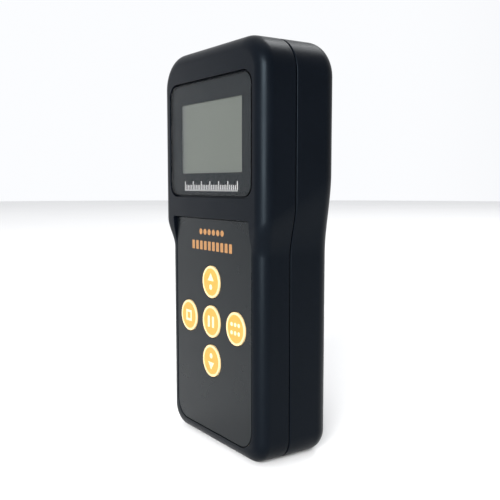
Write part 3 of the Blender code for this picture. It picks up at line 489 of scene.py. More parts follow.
# ---------------------------------------------------------------- finishes
class Surface:
    """A procedural material on one Principled shader, with textures in the object's own coordinates."""

    def __init__(self, name, roughness, metallic=0.0, **sockets):
        self.material = bpy.data.materials.new(name)
        self.material.use_nodes = True
        self.tree = self.material.node_tree
        self.shader = self.tree.nodes["Principled BSDF"]
        self.shader.inputs["Metallic"].default_value = metallic
        self.shader.inputs["Roughness"].default_value = roughness
        for socket, value in sockets.items():
            self.shader.inputs[socket.replace("_", " ")].default_value = value
        self.coordinates = self.add("ShaderNodeTexCoord").outputs["Object"]
        self.roughness = roughness

    def add(self, kind, **settings):
        node = self.tree.nodes.new(kind)
        for setting, value in settings.items():
            setattr(node, setting, value)
        return node

    def link(self, source, target):
        self.tree.links.new(source, target)

    def stretched(self, scale):
        mapping = self.add("ShaderNodeMapping")
        mapping.inputs["Scale"].default_value = scale
        self.link(self.coordinates, mapping.inputs["Vector"])
        return mapping.outputs["Vector"]

    def noise(self, size, detail=3.0, vector=None, roughness=0.5):
        """Noise from 0 to 1 with features of about a size in metres."""
        node = self.add("ShaderNodeTexNoise")
        node.inputs["Scale"].default_value = 1 / size
        node.inputs["Detail"].default_value = detail
        node.inputs["Roughness"].default_value = roughness
        self.link(vector or self.coordinates, node.inputs["Vector"])
        return node.outputs["Fac"]

    def spread(self, value, low, high, to_low=0.0, to_high=1.0):
        node = self.add("ShaderNodeMapRange")
        sockets = ("From Min", "From Max", "To Min", "To Max")
        for socket, number in zip(sockets, (low, high, to_low, to_high)):
            node.inputs[socket].default_value = number
        self.link(value, node.inputs["Value"])
        return node.outputs["Result"]

    def mix(self, share, first, second):
        """A colour between two, which are RGB numbers or sockets."""
        node = self.add("ShaderNodeMix", data_type="RGBA")
        self.link(share, node.inputs["Factor"])
        for socket, colour in (("A", first), ("B", second)):
            target = next(s for s in node.inputs if s.name == socket and s.type == "RGBA")
            if isinstance(colour, tuple):
                target.default_value = (*colour, 1.0)
            else:
                self.link(colour, target)
        return next(s for s in node.outputs if s.type == "RGBA")

    def colour(self, source):
        self.link(source, self.shader.inputs["Base Color"])

    def rough(self, value, amount):
        """Lets a value from 0 to 1 move the roughness by an amount each way."""
        self.link(
            self.spread(value, 0.3, 0.7, self.roughness - amount, self.roughness + amount),
            self.shader.inputs["Roughness"],
        )

    def bump(self, height, depth):
        node = self.add("ShaderNodeBump")
        node.inputs["Distance"].default_value = depth
        self.link(height, node.inputs["Height"])
        self.link(node.outputs["Normal"], self.shader.inputs["Normal"])

    def axis(self, name):
        node = self.add("ShaderNodeSeparateXYZ")
        self.link(self.coordinates, node.inputs["Vector"])
        return node.outputs[name]


def shade(colour, factor):
    return tuple(min(part * factor, 1.0) for part in colour)


def moulded(name, colour, roughness, grain=0.28 * MM, depth=0.02 * MM, variation=0.12, worn=0.35, **sockets):
    """Moulded plastic: eroded grain, faint flow marks and slightly paler worn spots."""
    surface = Surface(name, roughness, **sockets)
    flow = surface.noise(18 * MM, 4.0)
    fine = surface.noise(grain, 3.0, roughness=0.6)
    base = surface.mix(flow, shade(colour, 1 - variation), shade(colour, 1 + variation))
    specks = surface.spread(fine, 0.62, 0.75, 0.0, worn)
    surface.colour(surface.mix(specks, base, shade(colour, 1.6)))
    surface.rough(flow, 0.05)
    surface.bump(fine, depth)
    return surface.material


def metal(name, colour, roughness):
    """Plated or turned metal with fine marks and faint tarnish."""
    surface = Surface(name, roughness, 1.0)
    marks = surface.noise(0.15 * MM, 4.0)
    tarnish = surface.noise(2.5 * MM, 4.0)
    surface.colour(surface.mix(surface.spread(tarnish, 0.35, 0.7), colour, shade(colour, 0.7)))
    surface.rough(tarnish, 0.08)
    surface.bump(marks, 0.004 * MM)
    return surface.material


def case_plastic(name):
    """Black plastic with almost no colour of its own and a weak, bluish gloss."""
    return moulded(
        name, (0.0014, 0.0021, 0.0036), 0.35, Specular_IOR_Level=0.074, Specular_Tint=(0.7, 0.87, 1, 1)
    )


CASE = case_plastic("case")
DOOR = case_plastic("door")
FOIL = moulded(
    "foil", (0.0016, 0.0024, 0.0032), 0.3, grain=0.16 * MM, depth=0.004 * MM,
    Specular_IOR_Level=0.2, Specular_Tint=(0.86, 0.96, 1, 1),
)
PRINT = moulded(
    "print", (0.011, 0.015, 0.018), 0.5, depth=0.0005 * MM, variation=0.06, worn=0.05,
    Specular_IOR_Level=0.05,
)
# near black, unlit finish for the window sheet's sides: painted shade of the groove round the window
PAINTED_GROOVE_SHADE = moulded("painted_groove_shade", (0.002, 0.002, 0.0025), 0.8, grain=0.1 * MM, Specular_IOR_Level=0.02)
KEY_ORANGE = moulded("key_orange", (0.5, 0.2, 0.022), 0.42, grain=0.2 * MM, depth=0.008 * MM, variation=0.05)
KEY_CREAM = moulded("key_cream", (0.5, 0.37, 0.19), 0.42, grain=0.2 * MM, depth=0.008 * MM, variation=0.05)
LEGEND = moulded("legend", (0.62, 0.47, 0.28), 0.45, grain=0.1 * MM, depth=0.004 * MM, variation=0.05)
MARK_WHITE = moulded("mark_white", (0.74, 0.74, 0.74), 0.5, grain=0.1 * MM, depth=0.002 * MM, variation=0.08)
MARK_ORANGE = moulded(
    "mark_orange", (0.225, 0.106, 0.031), 0.5, grain=0.1 * MM, depth=0.004 * MM, variation=0.15
)
SCREW_STEEL = metal("screw_steel", (0.5, 0.5, 0.51), 0.3)
NICKEL = metal("nickel", (0.72, 0.71, 0.68), 0.25)


def lens_finish():
    """Hard-coated clear sheet: mostly see-through, with a gloss that fine scuffs soften."""
    surface = Surface("clear_sheet", 0.12, Alpha=0.25, IOR=1.45)
    scuffs = surface.noise(6 * MM, 5.0)
    surface.colour(surface.mix(scuffs, (0.008, 0.009, 0.01), (0.012, 0.013, 0.014)))
    surface.rough(scuffs, 0.04)
    return surface.material


def lcd_finish():
    """Unlit liquid crystal glass: grey-green and uneven, with a painted shadow of the print's edge along its
    left side and a painted highlight along its right rim.
    """
    surface = Surface("lcd", 0.3)
    cloud = surface.noise(14 * MM, 3.0)
    glass = surface.mix(cloud, (0.165, 0.187, 0.164), (0.195, 0.212, 0.184))
    across = surface.axis("X")
    painted_shadow = surface.spread(across, LCD_SHADE_START, LCD_SHADE_END, 1.0, 0.0)
    rim = surface.spread(across, LCD_HIGHLIGHT_START, LCD_HIGHLIGHT_END)
    # painted shadow that the print's left edge casts on the display
    glass = surface.mix(painted_shadow, glass, (0.125, 0.136, 0.136))
    # painted highlight along the glass's right rim
    surface.colour(surface.mix(rim, glass, (0.235, 0.256, 0.228)))
    surface.rough(cloud, 0.04)
    return surface.material


def board_finish():
    """Green solder mask with paler tracks under it and a fine weave."""
    surface = Surface("board", 0.38)
    tracks = surface.noise(1.6 * MM, 1.0, surface.stretched((1, 1, 0.12)))
    weave = surface.noise(0.35 * MM, 2.0)
    lines = surface.spread(tracks, 0.5, 0.54)
    surface.colour(surface.mix(lines, (0.015, 0.12, 0.045), (0.03, 0.2, 0.075)))
    surface.rough(weave, 0.05)
    surface.bump(lines, 0.02 * MM)
    return surface.material


CLEAR = lens_finish()
LCD = lcd_finish()
BOARD = board_finish()
SLEEVE = moulded("cell_sleeve", (0.02, 0.045, 0.07), 0.28, grain=0.6 * MM, depth=0.006 * MM)
BAND = moulded("cell_band", (0.5, 0.3, 0.09), 0.28, grain=0.6 * MM, depth=0.006 * MM, variation=0.06)
LABEL = moulded("blank_label", (0.2, 0.205, 0.21), 0.4, grain=0.12 * MM, depth=0.003 * MM, variation=0.06)
WHITE_PLASTIC = moulded("white_plastic", (0.7, 0.7, 0.68), 0.5, variation=0.03)
DIFFUSER = moulded("diffuser", (0.8, 0.8, 0.76), 0.5, grain=0.1 * MM, variation=0.03)
SILICONE = moulded("silicone", (0.5, 0.15, 0.12), 0.7, variation=0.08)
FERRITE = moulded("ferrite", (0.05, 0.05, 0.055), 0.75, grain=0.2 * MM, depth=0.05 * MM, variation=0.2)
CAPACITOR_RED = moulded("capacitor_red", (0.45, 0.06, 0.03), 0.35, variation=0.1)
CAPACITOR_SLEEVE = moulded("capacitor_sleeve", (0.02, 0.03, 0.09), 0.3)
CHIP = moulded("chip", (0.02, 0.02, 0.021), 0.6, grain=0.1 * MM)
BUZZER_BLACK = moulded("buzzer_black", (0.022, 0.022, 0.022), 0.5)
TUBE_GLASS = moulded("tube_glass", (0.24, 0.2, 0.16), 0.1, grain=3 * MM, depth=0.01 * MM)
BRASS = metal("brass", (0.72, 0.5, 0.2), 0.28)
TIN = metal("tin", (0.62, 0.63, 0.64), 0.35)


# ---------------------------------------------------------------- the case's outer form
def smooth_step(t):
    t = min(max(t, 0.0), 1.0)
    return t * t * (3 - 2 * t)


def shoulder_high(depth):
    """Where the shoulder ends at a depth behind the head's face."""
    return SHOULDER_HIGH_FACE + (SHOULDER_HIGH_BACK - SHOULDER_HIGH_FACE) * depth / DEPTH


def shoulder(z, depth):
    """0 on the body, 1 on the head, and smooth between."""
    return smooth_step((z - SHOULDER_LOW) / (shoulder_high(depth) - SHOULDER_LOW))


def half_outline(inset, depth):
    """The right half of the case's outline at a depth, moved inwards, from its top corner to its base."""
    points = arc(HEAD_HALF - TOP_CORNER, LENGTH - TOP_CORNER, TOP_CORNER - inset, 90, 0, ARC_STEPS)
    for z in along(shoulder_high(depth), SHOULDER_LOW, SHOULDER_STEPS):
        points.append((BODY_HALF + (HEAD_HALF - BODY_HALF) * shoulder(z, depth) - inset, z))
    points += arc(BODY_HALF - BASE_CORNER, BASE_CORNER, BASE_CORNER - inset, 0, -90, ARC_STEPS)
    return points


def case_y(depth, z):
    """Y at a depth behind the head's face. In front of the seam it follows the step to the body."""
    if depth >= SEAM_DEPTH:
        return HEAD_FACE + depth
    body_share = (SEAM_DEPTH - HEAD_PROUD) / SEAM_DEPTH
    share = body_share + (1 - body_share) * shoulder(z, depth)
    return SEAM - (SEAM_DEPTH - depth) * share


def loft(name, sections):
    """A closed body through (inset, depth) sections of the case's outline."""
    bm = bmesh.new()
    rings = []
    for inset, depth in sections:
        half = half_outline(inset, depth)
        right = [bm.verts.new((x, case_y(depth, z), z)) for x, z in half]
        left = [bm.verts.new((-x, case_y(depth, z), z)) for x, z in half]
        rings.append((right, left))
    for (right, left), (next_right, next_left) in zip(rings, rings[1:]):
        ring = right + left[::-1]
        next_ring = next_right + next_left[::-1]
        for i in range(len(ring)):
            j = (i + 1) % len(ring)
            bm.faces.new((ring[i], ring[j], next_ring[j], next_ring[i]))
    for right, left in (rings[0], rings[-1]):
        for i in range(len(right) - 1):
            bm.faces.new((right[i], right[i + 1], left[i + 1], left[i]))
    return to_mesh(name, bm)


def rounding(radius, wall, depth_of, steps):
    """Sections of a quarter round from a flat face to the side wall, moved inwards by a wall's thickness."""
    sections = []
    for i in range(steps + 1):
        angle = math.radians(90 * i / steps)
        inset = wall + radius * (1 - math.sin(angle))
        sections.append((inset, depth_of(wall + radius * (1 - math.cos(angle)))))
    return sections


def from_face(depth):
    return depth


def from_back(depth):
    return DEPTH - depth


def rim_round(rim, side):
    """Sections of the small round on a shell's rim. side is -1 on the front shell and 1 on the rear one."""
    sections = []
    for i in range(LIP_STEPS + 1):
        angle = math.radians(90 * i / LIP_STEPS)
        inset = SEAM_ROUND * (1 - math.cos(angle))
        sections.append((inset, rim + side * SEAM_ROUND * (1 - math.sin(angle))))
    return sections


def shell_sections(round_radius, depth_of, rim, side, lip_inset, lip_end):
    outside = rounding(round_radius, 0, depth_of, ROUND_STEPS)
    inside = rounding(round_radius - WALL, WALL, depth_of, LIP_STEPS)
    joint = rim_round(rim, side) + [(lip_inset, rim), (lip_inset, lip_end), (WALL, lip_end)]
    return outside + joint + inside[::-1]


def box_centres(names):
    places = []
    for name in names:
        low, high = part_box(name)
        places.append(((low.x + high.x) / 2, (low.z + high.z) / 2))
    return places


KEY_PLACES = dict(zip(KEYS, box_centres([f"key_{name}" for name in KEYS])))
CASE_SCREWS = box_centres([f"case_screw_{i}" for i in range(1, 5)])
BOARD_SCREWS = box_centres([f"board_screw_{i}" for i in range(1, 5)])


def on_face(x, z):
    return case_y(0, z)


def on_back(x, z):
    return BACK


def on_foil(x, z):
    return FOIL_LOW.y


# ---------------------------------------------------------------- front housing
def make_front_housing():
    rim = SEAM_DEPTH - SEAM_GAP / 2
    sections = shell_sections(FACE_ROUND, from_face, rim, -1, TONGUE_INSET, rim + TONGUE_HEIGHT)
    form = loft("front_form", sections)
    half = FOIL_HIGH.x + KEYPAD_BACKING_SIDE
    keypad_backing = block(
        "keypad_backing",
        (-half, KEYPAD_BACKING_FRONT, KEYPAD_BACKING_LOW),
        (half, KEYPAD_BACKING_BACK, KEYPAD_BACKING_HIGH),
    )
    half = LENS_HIGH.x + WINDOW_BACKING_SIDE
    window_backing = block(
        "window_backing",
        (-half, WINDOW_BACKING_FRONT, WINDOW_BACKING_LOW),
        (half, LEDGE_BACK, WINDOW_BACKING_HIGH),
    )
    bosses = rods("bosses", CASE_SCREWS, BOSS_RADIUS, BOSS_START, BOSS_END)
    posts = rods("posts", BOARD_SCREWS, POST_RADIUS, POST_START, BOARD_LOW.y - GAP)
    boss_holes = rods("boss_holes", CASE_SCREWS, BOSS_HOLE_RADIUS, BOSS_HOLE_START, BOSS_END + PAST)
    post_holes = rods("post_holes", BOARD_SCREWS, POST_HOLE_RADIUS, POST_HOLE_START, BOARD_LOW.y)
    foil_seat = recess(
        "foil_seat", lambda margin: foil_outline(FOIL_GAP + margin),
        RECESS_FLOOR, FOIL_LIP, on_face, -1,
    )
    window_seat = recess(
        "window_seat", lambda margin: window_outline(WINDOW_GAP + margin),
        LEDGE_FRONT, WINDOW_LIP, on_face, -1,
    )
    opening = plate(
        "window_opening",
        lambda margin: rounded_rectangle(LEDGE_WIDTH, LEDGE_HEIGHT, LEDGE_CORNER, 0, VIEW_Z),
        HEAD_FACE - PAST,
        LEDGE_BACK + PAST,
    )
    places = KEY_PLACES.values()
    stem_holes = rods("stem_holes", places, STEM_HOLE_RADIUS, HEAD_FACE - 2 * PAST, STEM_HOLE_END)
    housing = solid(
        "front_housing", form,
        ("UNION", keypad_backing), ("UNION", window_backing), ("UNION", bosses), ("UNION", posts),
        ("DIFFERENCE", boss_holes), ("DIFFERENCE", post_holes), ("DIFFERENCE", foil_seat),
        ("DIFFERENCE", window_seat), ("DIFFERENCE", opening), ("DIFFERENCE", stem_holes),
    )
    piece("front_housing", housing, CASE, "case", "case", "front_shell")


# ---------------------------------------------------------------- rear housing, battery door and screws
def door_profile(clearance, edge):
    """The door's section across Z, in (x, y) points: a plate with a thin tongue along each side.

    edge is the chamfer along its outer corners. It opens outwards when it is positive, for the slot.
    """
    half = DOOR_HIGH.x - DOOR_TONGUE + clearance
    wide = half + DOOR_TONGUE
    inner = DOOR_LOW.y - clearance
    tongue_back = DOOR_LOW.y + DOOR_TONGUE_THICKNESS + clearance
    outside = BACK + 2 * PAST
    turned_out = outside - BACK + abs(edge)
    right = [(wide, inner), (wide, tongue_back), (half, tongue_back), (half, BACK - abs(edge))]
    right.append((half + math.copysign(turned_out, edge), outside))
    left = [(-x, y) for x, y in reversed(right)]
    return left + right


def sound_hole_places():
    x = (BUZZER_LOW.x + BUZZER_HIGH.x) / 2
    z = (BUZZER_LOW.z + BUZZER_HIGH.z) / 2
    return [(x, z)] + circle(SOUND_RING_RADIUS, x, z, SOUND_RING_HOLES)


def back_hole(name, places, radius, floor, lip):
    """Cutters for round holes from the back, each with a rounded rim."""
    return [
        recess(
            f"{name}_{i}", lambda margin, x=x, z=z: circle(radius + margin, x, z, TURNED_STEPS),
            floor, lip, on_back, 1,
        )
        for i, (x, z) in enumerate(places)
    ]


def label_outline(grown, corner):
    return rounded_rectangle(LABEL_WIDTH + 2 * grown, LABEL_HEIGHT + 2 * grown, corner, 0, LABEL_Z)


def make_rear_housing():
    rim = SEAM_DEPTH + SEAM_GAP / 2
    sections = shell_sections(BACK_ROUND, from_back, rim, 1, GROOVE_INSET, rim + TONGUE_HEIGHT)
    form = loft("rear_form", sections)
    half = BAY_OUTER_HALF
    bay = block(
        "bay",
        (-half, BAY_FRONT - BAY_WALL, BAY_START),
        (half, BACK - PAST, BAY_HIGH + BAY_WALL + BAY_TOP_EXTRA),
    )
    half -= FOOT_SIDE_INSET
    foot = block(
        "bay_foot",
        (-half, SEAM + FOOT_DEPTH_INSET, FOOT_LOW),
        (half, BACK - FOOT_DEPTH_INSET, FOOT_HIGH),
    )
    columns = rods("columns", CASE_SCREWS, COLUMN_RADIUS, BOSS_END + GAP, BACK - PAST)
    cavity = block("bay_cavity", (-BAY_HALF, BAY_FRONT, BAY_LOW), (BAY_HALF, BACK + PAST, BAY_HIGH))
    slot = slide("door_slot", door_profile(GAP, DOOR_CHAMFER), -PAST, DOOR_HIGH.z + GAP)
    screw_holes = rods("screw_holes", CASE_SCREWS, SCREW_HOLE_RADIUS, SEAM, BACK + PAST)
    label = recess(
        "label_recess",
        lambda margin: label_outline(LABEL_GAP + margin, LABEL_RECESS_CORNER + margin),
        BACK - LABEL_RECESS_DEPTH, LABEL_RECESS_LIP, on_back, 1,
    )
    holes = back_hole("head_hole", CASE_SCREWS, HEAD_HOLE_RADIUS, BACK - HEAD_HOLE_DEPTH, HEAD_HOLE_LIP)
    places = sound_hole_places()
    holes += back_hole("sound_hole", places, SOUND_HOLE_RADIUS, BACK - WALL - PAST, SOUND_HOLE_LIP)
    housing = solid(
        "rear_housing", form,
        ("UNION", bay), ("UNION", foot), ("UNION", columns),
        ("DIFFERENCE", cavity), ("DIFFERENCE", slot), ("DIFFERENCE", screw_holes), ("DIFFERENCE", label),
        *[("DIFFERENCE", hole) for hole in holes],
    )
    piece("rear_housing", housing, CASE, "case", "case", "rear_shell")


def make_label():
    """A plain blank sticker in the shallow recess of the back, whose edge spreads a little at its face."""
    plain = plate(
        "blank_label",
        lambda margin: label_outline(-margin, LABEL_CORNER - margin),
        BACK - LABEL_RECESS_DEPTH + LABEL_LIFT,
        BACK - LABEL_BELOW_BACK,
        back_round=LABEL_EDGE,
    )
    piece("blank_label", plain, LABEL, "case", "case")


def grip_groove(name, z):
    """A round-bottomed groove across the door, with round ends."""
    ends = []
    for angle in map(math.radians, along(0, 90, GRIP_STEPS)):
        radius = max(GRIP_RADIUS * math.cos(angle), SMALLEST_RADIUS)
        ends.append((GRIP_HALF + GRIP_RADIUS * math.sin(angle), radius))
    rings = []
    for x, radius in [(-x, radius) for x, radius in reversed(ends)] + ends:
        rings.append([(x, BACK + y, z + v) for y, v in circle(radius, 0, 0, GROOVE_CIRCLE_STEPS)])
    return skin(name, rings)


def make_battery_door():
    face_sections = rounding(FACE_ROUND, 0, from_face, ROUND_STEPS)
    back_sections = rounding(BACK_ROUND, 0, from_back, ROUND_STEPS)
    steps = [("INTERSECT", loft("case_form", face_sections + back_sections[::-1]))]
    for i in range(GRIP_COUNT):
        steps.append(("DIFFERENCE", grip_groove(f"grip_groove_{i}", GRIP_LOW + i * GRIP_PITCH)))
    blank = slide("door_plate", door_profile(0, -DOOR_CHAMFER), 0, DOOR_HIGH.z)
    door = solid("door_panel", blank, *steps)
    piece("door_panel", door, DOOR, "battery_door", "door", "battery_door")


def cross_arm(name, half_x, half_z, x, z):
    """A cutter for one arm of the cross in a screw's head, shorter at its floor than at its mouth."""
    rings = []
    for share, y in ((CROSS_FLOOR_SHARE, SCREW_HIGH.y - CROSS_DEPTH), (1.0, SCREW_HIGH.y + 0.1 * PAST)):
        reach_x = half_x * (share if half_x > half_z else 1)
        reach_z = half_z * (share if half_z > half_x else 1)
        corners = ((1, 1), (-1, 1), (-1, -1), (1, -1))
        rings.append([(x + side * reach_x, y, z + end * reach_z) for side, end in corners])
    return skin(name, rings)


def make_screws():
    """Domed heads with a cross, on plain shanks, seen from the back."""
    seat = SCREW_HIGH.y - SCREW_HEAD_HEIGHT
    dome = ((0.55, 0.02 * MM), (0.82, 0.25 * MM), (0.96, 0.7 * MM), (1.0, 1.1 * MM))
    profile = [(0, SCREW_HIGH.y)]
    profile += [(SCREW_RADIUS * share, SCREW_HIGH.y - drop) for share, drop in dome]
    profile += [(SCREW_RADIUS, seat), (SHANK_RADIUS, seat)]
    profile += [(SHANK_RADIUS, SCREW_LOW.y + SHANK_RADIUS), (0, SCREW_LOW.y)]
    x, z = CASE_SCREWS[0]
    screw = solid(
        "screw", lathe("screw_form", profile, x, z, TURNED_STEPS),
        ("DIFFERENCE", cross_arm("arm_a", CROSS_LONG, CROSS_SHORT, x, z)),
        ("DIFFERENCE", cross_arm("arm_b", CROSS_SHORT, CROSS_LONG, x, z)),
    )
    for i, (place_x, place_z) in enumerate(CASE_SCREWS, 1):
        mesh = moved(screw, (place_x - x, 0, place_z - z))
        piece(f"cross_screw_{i}", mesh, SCREW_STEEL, "case", "screw", f"case_screw_{i}")


# ---------------------------------------------------------------- window and its print
def make_window():
    """A clear sheet whose sides are near black as painted shade for the groove round it, and the print behind
    it with a clear view.
    """
    sheet = plate(
        "window_sheet", window_outline, LENS_LOW.y, LENS_HIGH.y, SHEET_FRONT_ROUND, SHEET_BACK_ROUND
    )
    sheet.materials.append(CLEAR)
    sheet.materials.append(PAINTED_GROOVE_SHADE)
    for face in sheet.polygons:
        # the sheet's sides take the painted groove shade
        face.material_index = int(abs(face.normal.y) < SHEET_SIDE_FACING)
    piece("window_sheet", sheet, None, "case", "window", "window_lens")
    border = plate("border", lambda margin: window_outline(margin - PRINT_INSET), MASK_LOW.y, MASK_HIGH.y)
    view = plate(
        "view",
        lambda margin: rounded_rectangle(VIEW_WIDTH, VIEW_HEIGHT, VIEW_CORNER, 0, VIEW_Z, SMALL_CORNER_STEPS),
        MASK_LOW.y - PAST,
        MASK_HIGH.y + PAST,
    )
    mask = solid("window_print", border, ("DIFFERENCE", view))
    piece("window_print", mask, PRINT, "case", "mask", "window_mask")


def inlays(name, outlines, front, finish, body, slot, height=MARK_HEIGHT):
    """Thin printed marks in one piece, sunk a little into what they lie on."""
    bm = bmesh.new()
    for outline in outlines:
        add_skin(bm, [ring_at(outline, front - height), ring_at(outline, front + MARK_SUNK)])
    piece(name, to_mesh(name, bm), finish, body, slot, even=False)


def bar(x, z, width, height, corner=0.1 * MM):
    return rounded_rectangle(width, height, corner, x, z, SMALL_CORNER_STEPS)


def spaced(count, pitch):
    """Places in a row that is centred on 0."""
    return [(i - (count - 1) / 2) * pitch for i in range(count)]


def make_scale_marks():
    """A plain divided scale under the display, every fifth stroke taller."""
    marks = [bar(0, SCALE_BASE + SCALE_LINE / 2, SCALE_WIDTH, SCALE_LINE)]
    for i, x in enumerate(spaced(SCALE_STROKES, SCALE_PITCH)):
        height = STROKE_HEIGHT if i % TALL_STROKE_EVERY else TALL_STROKE_HEIGHT
        marks.append(bar(x, SCALE_BASE + height / 2, STROKE_WIDTH, height))
    inlays("scale_marks", marks, MASK_LOW.y, MARK_WHITE, "case", "mask")


# ---------------------------------------------------------------- keypad
def make_foil():
    """The foil sheet with a round-edged hole at each key."""
    sheet = plate("foil_sheet", foil_outline, FOIL_LOW.y, FOIL_HIGH.y, FOIL_ROUND)
    holes = [
        recess(
            f"key_hole_{name}", lambda margin, x=x, z=z: circle(KEY_RADIUS + KEY_GAP + margin, x, z),
            FOIL_HIGH.y + PAST, KEY_HOLE_LIP, on_foil, -1,
        )
        for name, (x, z) in KEY_PLACES.items()
    ]
    foil = solid("keypad_foil", sheet, *[("DIFFERENCE", hole) for hole in holes])
    piece("keypad_foil", foil, FOIL, "case", "film", "keypad_film")


def make_keypad_marks():
    """A row of dots and a row of bars above the keys."""
    dots = [circle(DOT_RADIUS, x, DOT_Z, MARK_CIRCLE_STEPS) for x in spaced(DOT_COUNT, DOT_PITCH)]
    inlays("keypad_dots", dots, FOIL_LOW.y, MARK_ORANGE, "case", "film")
    bars = [bar(x, BAR_Z, *BAR_SIZE, BAR_CORNER) for x in spaced(BAR_COUNT, BAR_PITCH)]
    inlays("keypad_bars", bars, FOIL_LOW.y, MARK_ORANGE, "case", "film")


def triangle(x, z, width, height):
    return [(x - width / 2, z), (x + width / 2, z), (x, z + height)]


def arrow_outlines(x, z, way):
    """An arrowhead that points up or down, with a dot at its foot. way is 1 or -1."""
    return [
        triangle(x, z + way * 0.5 * MM, 4.2 * MM, way * 2.8 * MM),
        circle(1.0 * MM, x, z - way * 1.9 * MM, MARK_CIRCLE_STEPS),
    ]


def frame_outlines(x, z, side, line):
    """A square frame from four bars."""
    offset = (side - line) / 2
    return [
        bar(x, z + offset, side, line), bar(x, z - offset, side, line),
        bar(x - offset, z, line, side - 2 * line), bar(x + offset, z, line, side - 2 * line),
    ]


def legend_outlines(name, x, z):
    """A plain sign for each key: an arrow with a dot, a square frame, two strokes, or two rows of dots."""
    if name in ("up", "down"):
        return arrow_outlines(x, z, 1 if name == "up" else -1)
    if name == "left":
        return frame_outlines(x, z, 4.2 * MM, 0.9 * MM)
    if name == "enter":
        return [bar(x + u, z, 1.4 * MM, 4.2 * MM, 0.3 * MM) for u in spaced(2, 3.0 * MM)]
    places = [(u, v) for v in spaced(2, 3.0 * MM) for u in spaced(3, 2.3 * MM)]
    return [circle(0.75 * MM, x + u, z + v, MARK_CIRCLE_STEPS) for u, v in places]


def make_key(name):
    """A flat cap with a raised cream rim, on a stem that ends in the switch's plunger."""
    low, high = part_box(f"key_{name}")
    x, z = KEY_PLACES[name]
    top = low.y
    stem_end = high.y - PLUNGER_LENGTH
    dip = top + 0.14 * MM
    profile = [(0, top + 0.08 * MM), (KEY_RIM - 0.5 * MM, top + 0.1 * MM), (KEY_RIM - 0.1 * MM, dip)]
    profile += [(KEY_RIM, dip), (KEY_RIM + 0.12 * MM, top + 0.03 * MM), (KEY_RIM + KEY_RIM_SLOPE, top)]
    profile += [(KEY_RADIUS + margin, top + drop) for margin, drop in edge_steps(KEY_ROUND)]
    profile += [(KEY_RADIUS, KEY_CAP_BACK), (STEM_RADIUS, KEY_CAP_BACK), (STEM_RADIUS, stem_end)]
    profile += [(PLUNGER_RADIUS, stem_end), (PLUNGER_RADIUS, high.y - PLUNGER_CHAMFER)]
    profile += [(PLUNGER_RADIUS - PLUNGER_CHAMFER, high.y), (0, high.y)]
    mesh = lathe(f"keycap_{name}", profile, x, z)
    mesh.materials.append(KEY_ORANGE)
    mesh.materials.append(KEY_CREAM)
    for polygon in mesh.polygons:
        reach = math.hypot(polygon.center.x - x, polygon.center.z - z)
        polygon.material_index = int(reach > KEY_RIM and polygon.center.y < KEY_CAP_BACK)
    piece(f"keycap_{name}", mesh, None, f"key_{name}", "key", f"key_{name}")
    inlays(
        f"legend_{name}", legend_outlines(name, x, z), top + LEGEND_DROP, LEGEND,
        f"key_{name}", "key", LEGEND_HEIGHT,
    )


# ---------------------------------------------------------------- battery cells and contacts
def upright(name, profile, x, y, steps=64):
    """A shape turned round the vertical, from (radius, height) points that go up its outer side."""
    return skin(name, [[(x + u, y + v, z) for u, v in circle(radius, 0, 0, steps)] for radius, z in profile])


def cell_profile(radius, length):
    """(radius, height) points from the dished base, up the sleeve shrunk over both rims, to the pole."""
    rim = length - CELL_POLE_HEIGHT
    band = length * CELL_BAND_SHARE
    profile = [(CELL_DISH_RADIUS / 2, CELL_DISH_DEPTH), (CELL_DISH_RADIUS, CELL_DISH_DEPTH)]
    profile += [(CELL_DISH_RADIUS + 0.3 * MM, 0), (radius - 0.9 * MM, 0)]
    profile += [(radius + margin, drop) for margin, drop in edge_steps(CELL_BASE_ROUND)]
    profile += [(radius, band - CELL_BAND_STEP), (radius, band + CELL_BAND_STEP)]
    profile += [(radius + margin, rim - drop) for margin, drop in reversed(edge_steps(CELL_RIM_ROUND))]
    inner = radius - CELL_RIM_WIDTH
    profile += [(inner, rim), (inner - CELL_RIM_STEP, rim - CELL_RIM_STEP)]
    profile += [(CELL_POLE_RADIUS + 0.35 * MM, rim - CELL_RIM_STEP), (CELL_POLE_RADIUS, rim)]
    profile += [(CELL_POLE_RADIUS - 0.05 * MM, length - 0.3 * MM), (CELL_POLE_RADIUS - 0.35 * MM, length)]
    return profile


def make_cell(name, node, pole_up):
    """A round cell: a sleeve with a coloured band at its raised pole, and bare metal ends."""
    low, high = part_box(node)
    radius = (high.x - low.x) / 2
    length = high.z - low.z
    profile = cell_profile(radius, length)
    if not pole_up:
        profile = [(size, length - z) for size, z in reversed(profile)]
    x = CELL_LEFT_X if node == "battery_left" else CELL_RIGHT_X
    mesh = upright(name, [(size, low.z + z) for size, z in profile], x, CELL_Y)
    for finish in (SLEEVE, BAND, NICKEL):
        mesh.materials.append(finish)
    for face in mesh.polygons:
        height = face.center.z - low.z if pole_up else high.z - face.center.z
        reach = math.hypot(face.center.x - x, face.center.y - CELL_Y)
        is_metal = reach < radius - CELL_RIM_WIDTH - 0.05 * MM
        face.material_index = 2 if is_metal else int(height > length * CELL_BAND_SHARE)
    piece(name, mesh, None, "case", "cell", node)


def make_spring(name, node, x, wide_end_low):
    """A coil of round wire that narrows from its contact plate to the cell's end."""
    low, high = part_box(node)
    rings = []
    for i in range(SPRING_STEPS + 1):
        share = i / SPRING_STEPS
        reach = SPRING_WIDE + (SPRING_NARROW - SPRING_WIDE) * share
        angle = math.tau * SPRING_TURNS * share
        climb = (high.z - low.z - 2 * SPRING_WIRE) * share
        z = low.z + SPRING_WIRE + climb if wide_end_low else high.z - SPRING_WIRE - climb
        rings.append([
            (x + (reach + u) * math.cos(angle), CELL_Y + (reach + u) * math.sin(angle), z + v)
            for u, v in circle(SPRING_WIRE, 0, 0, 12)
        ])
    piece(name, skin(name, rings), NICKEL, "case", "contact", node)


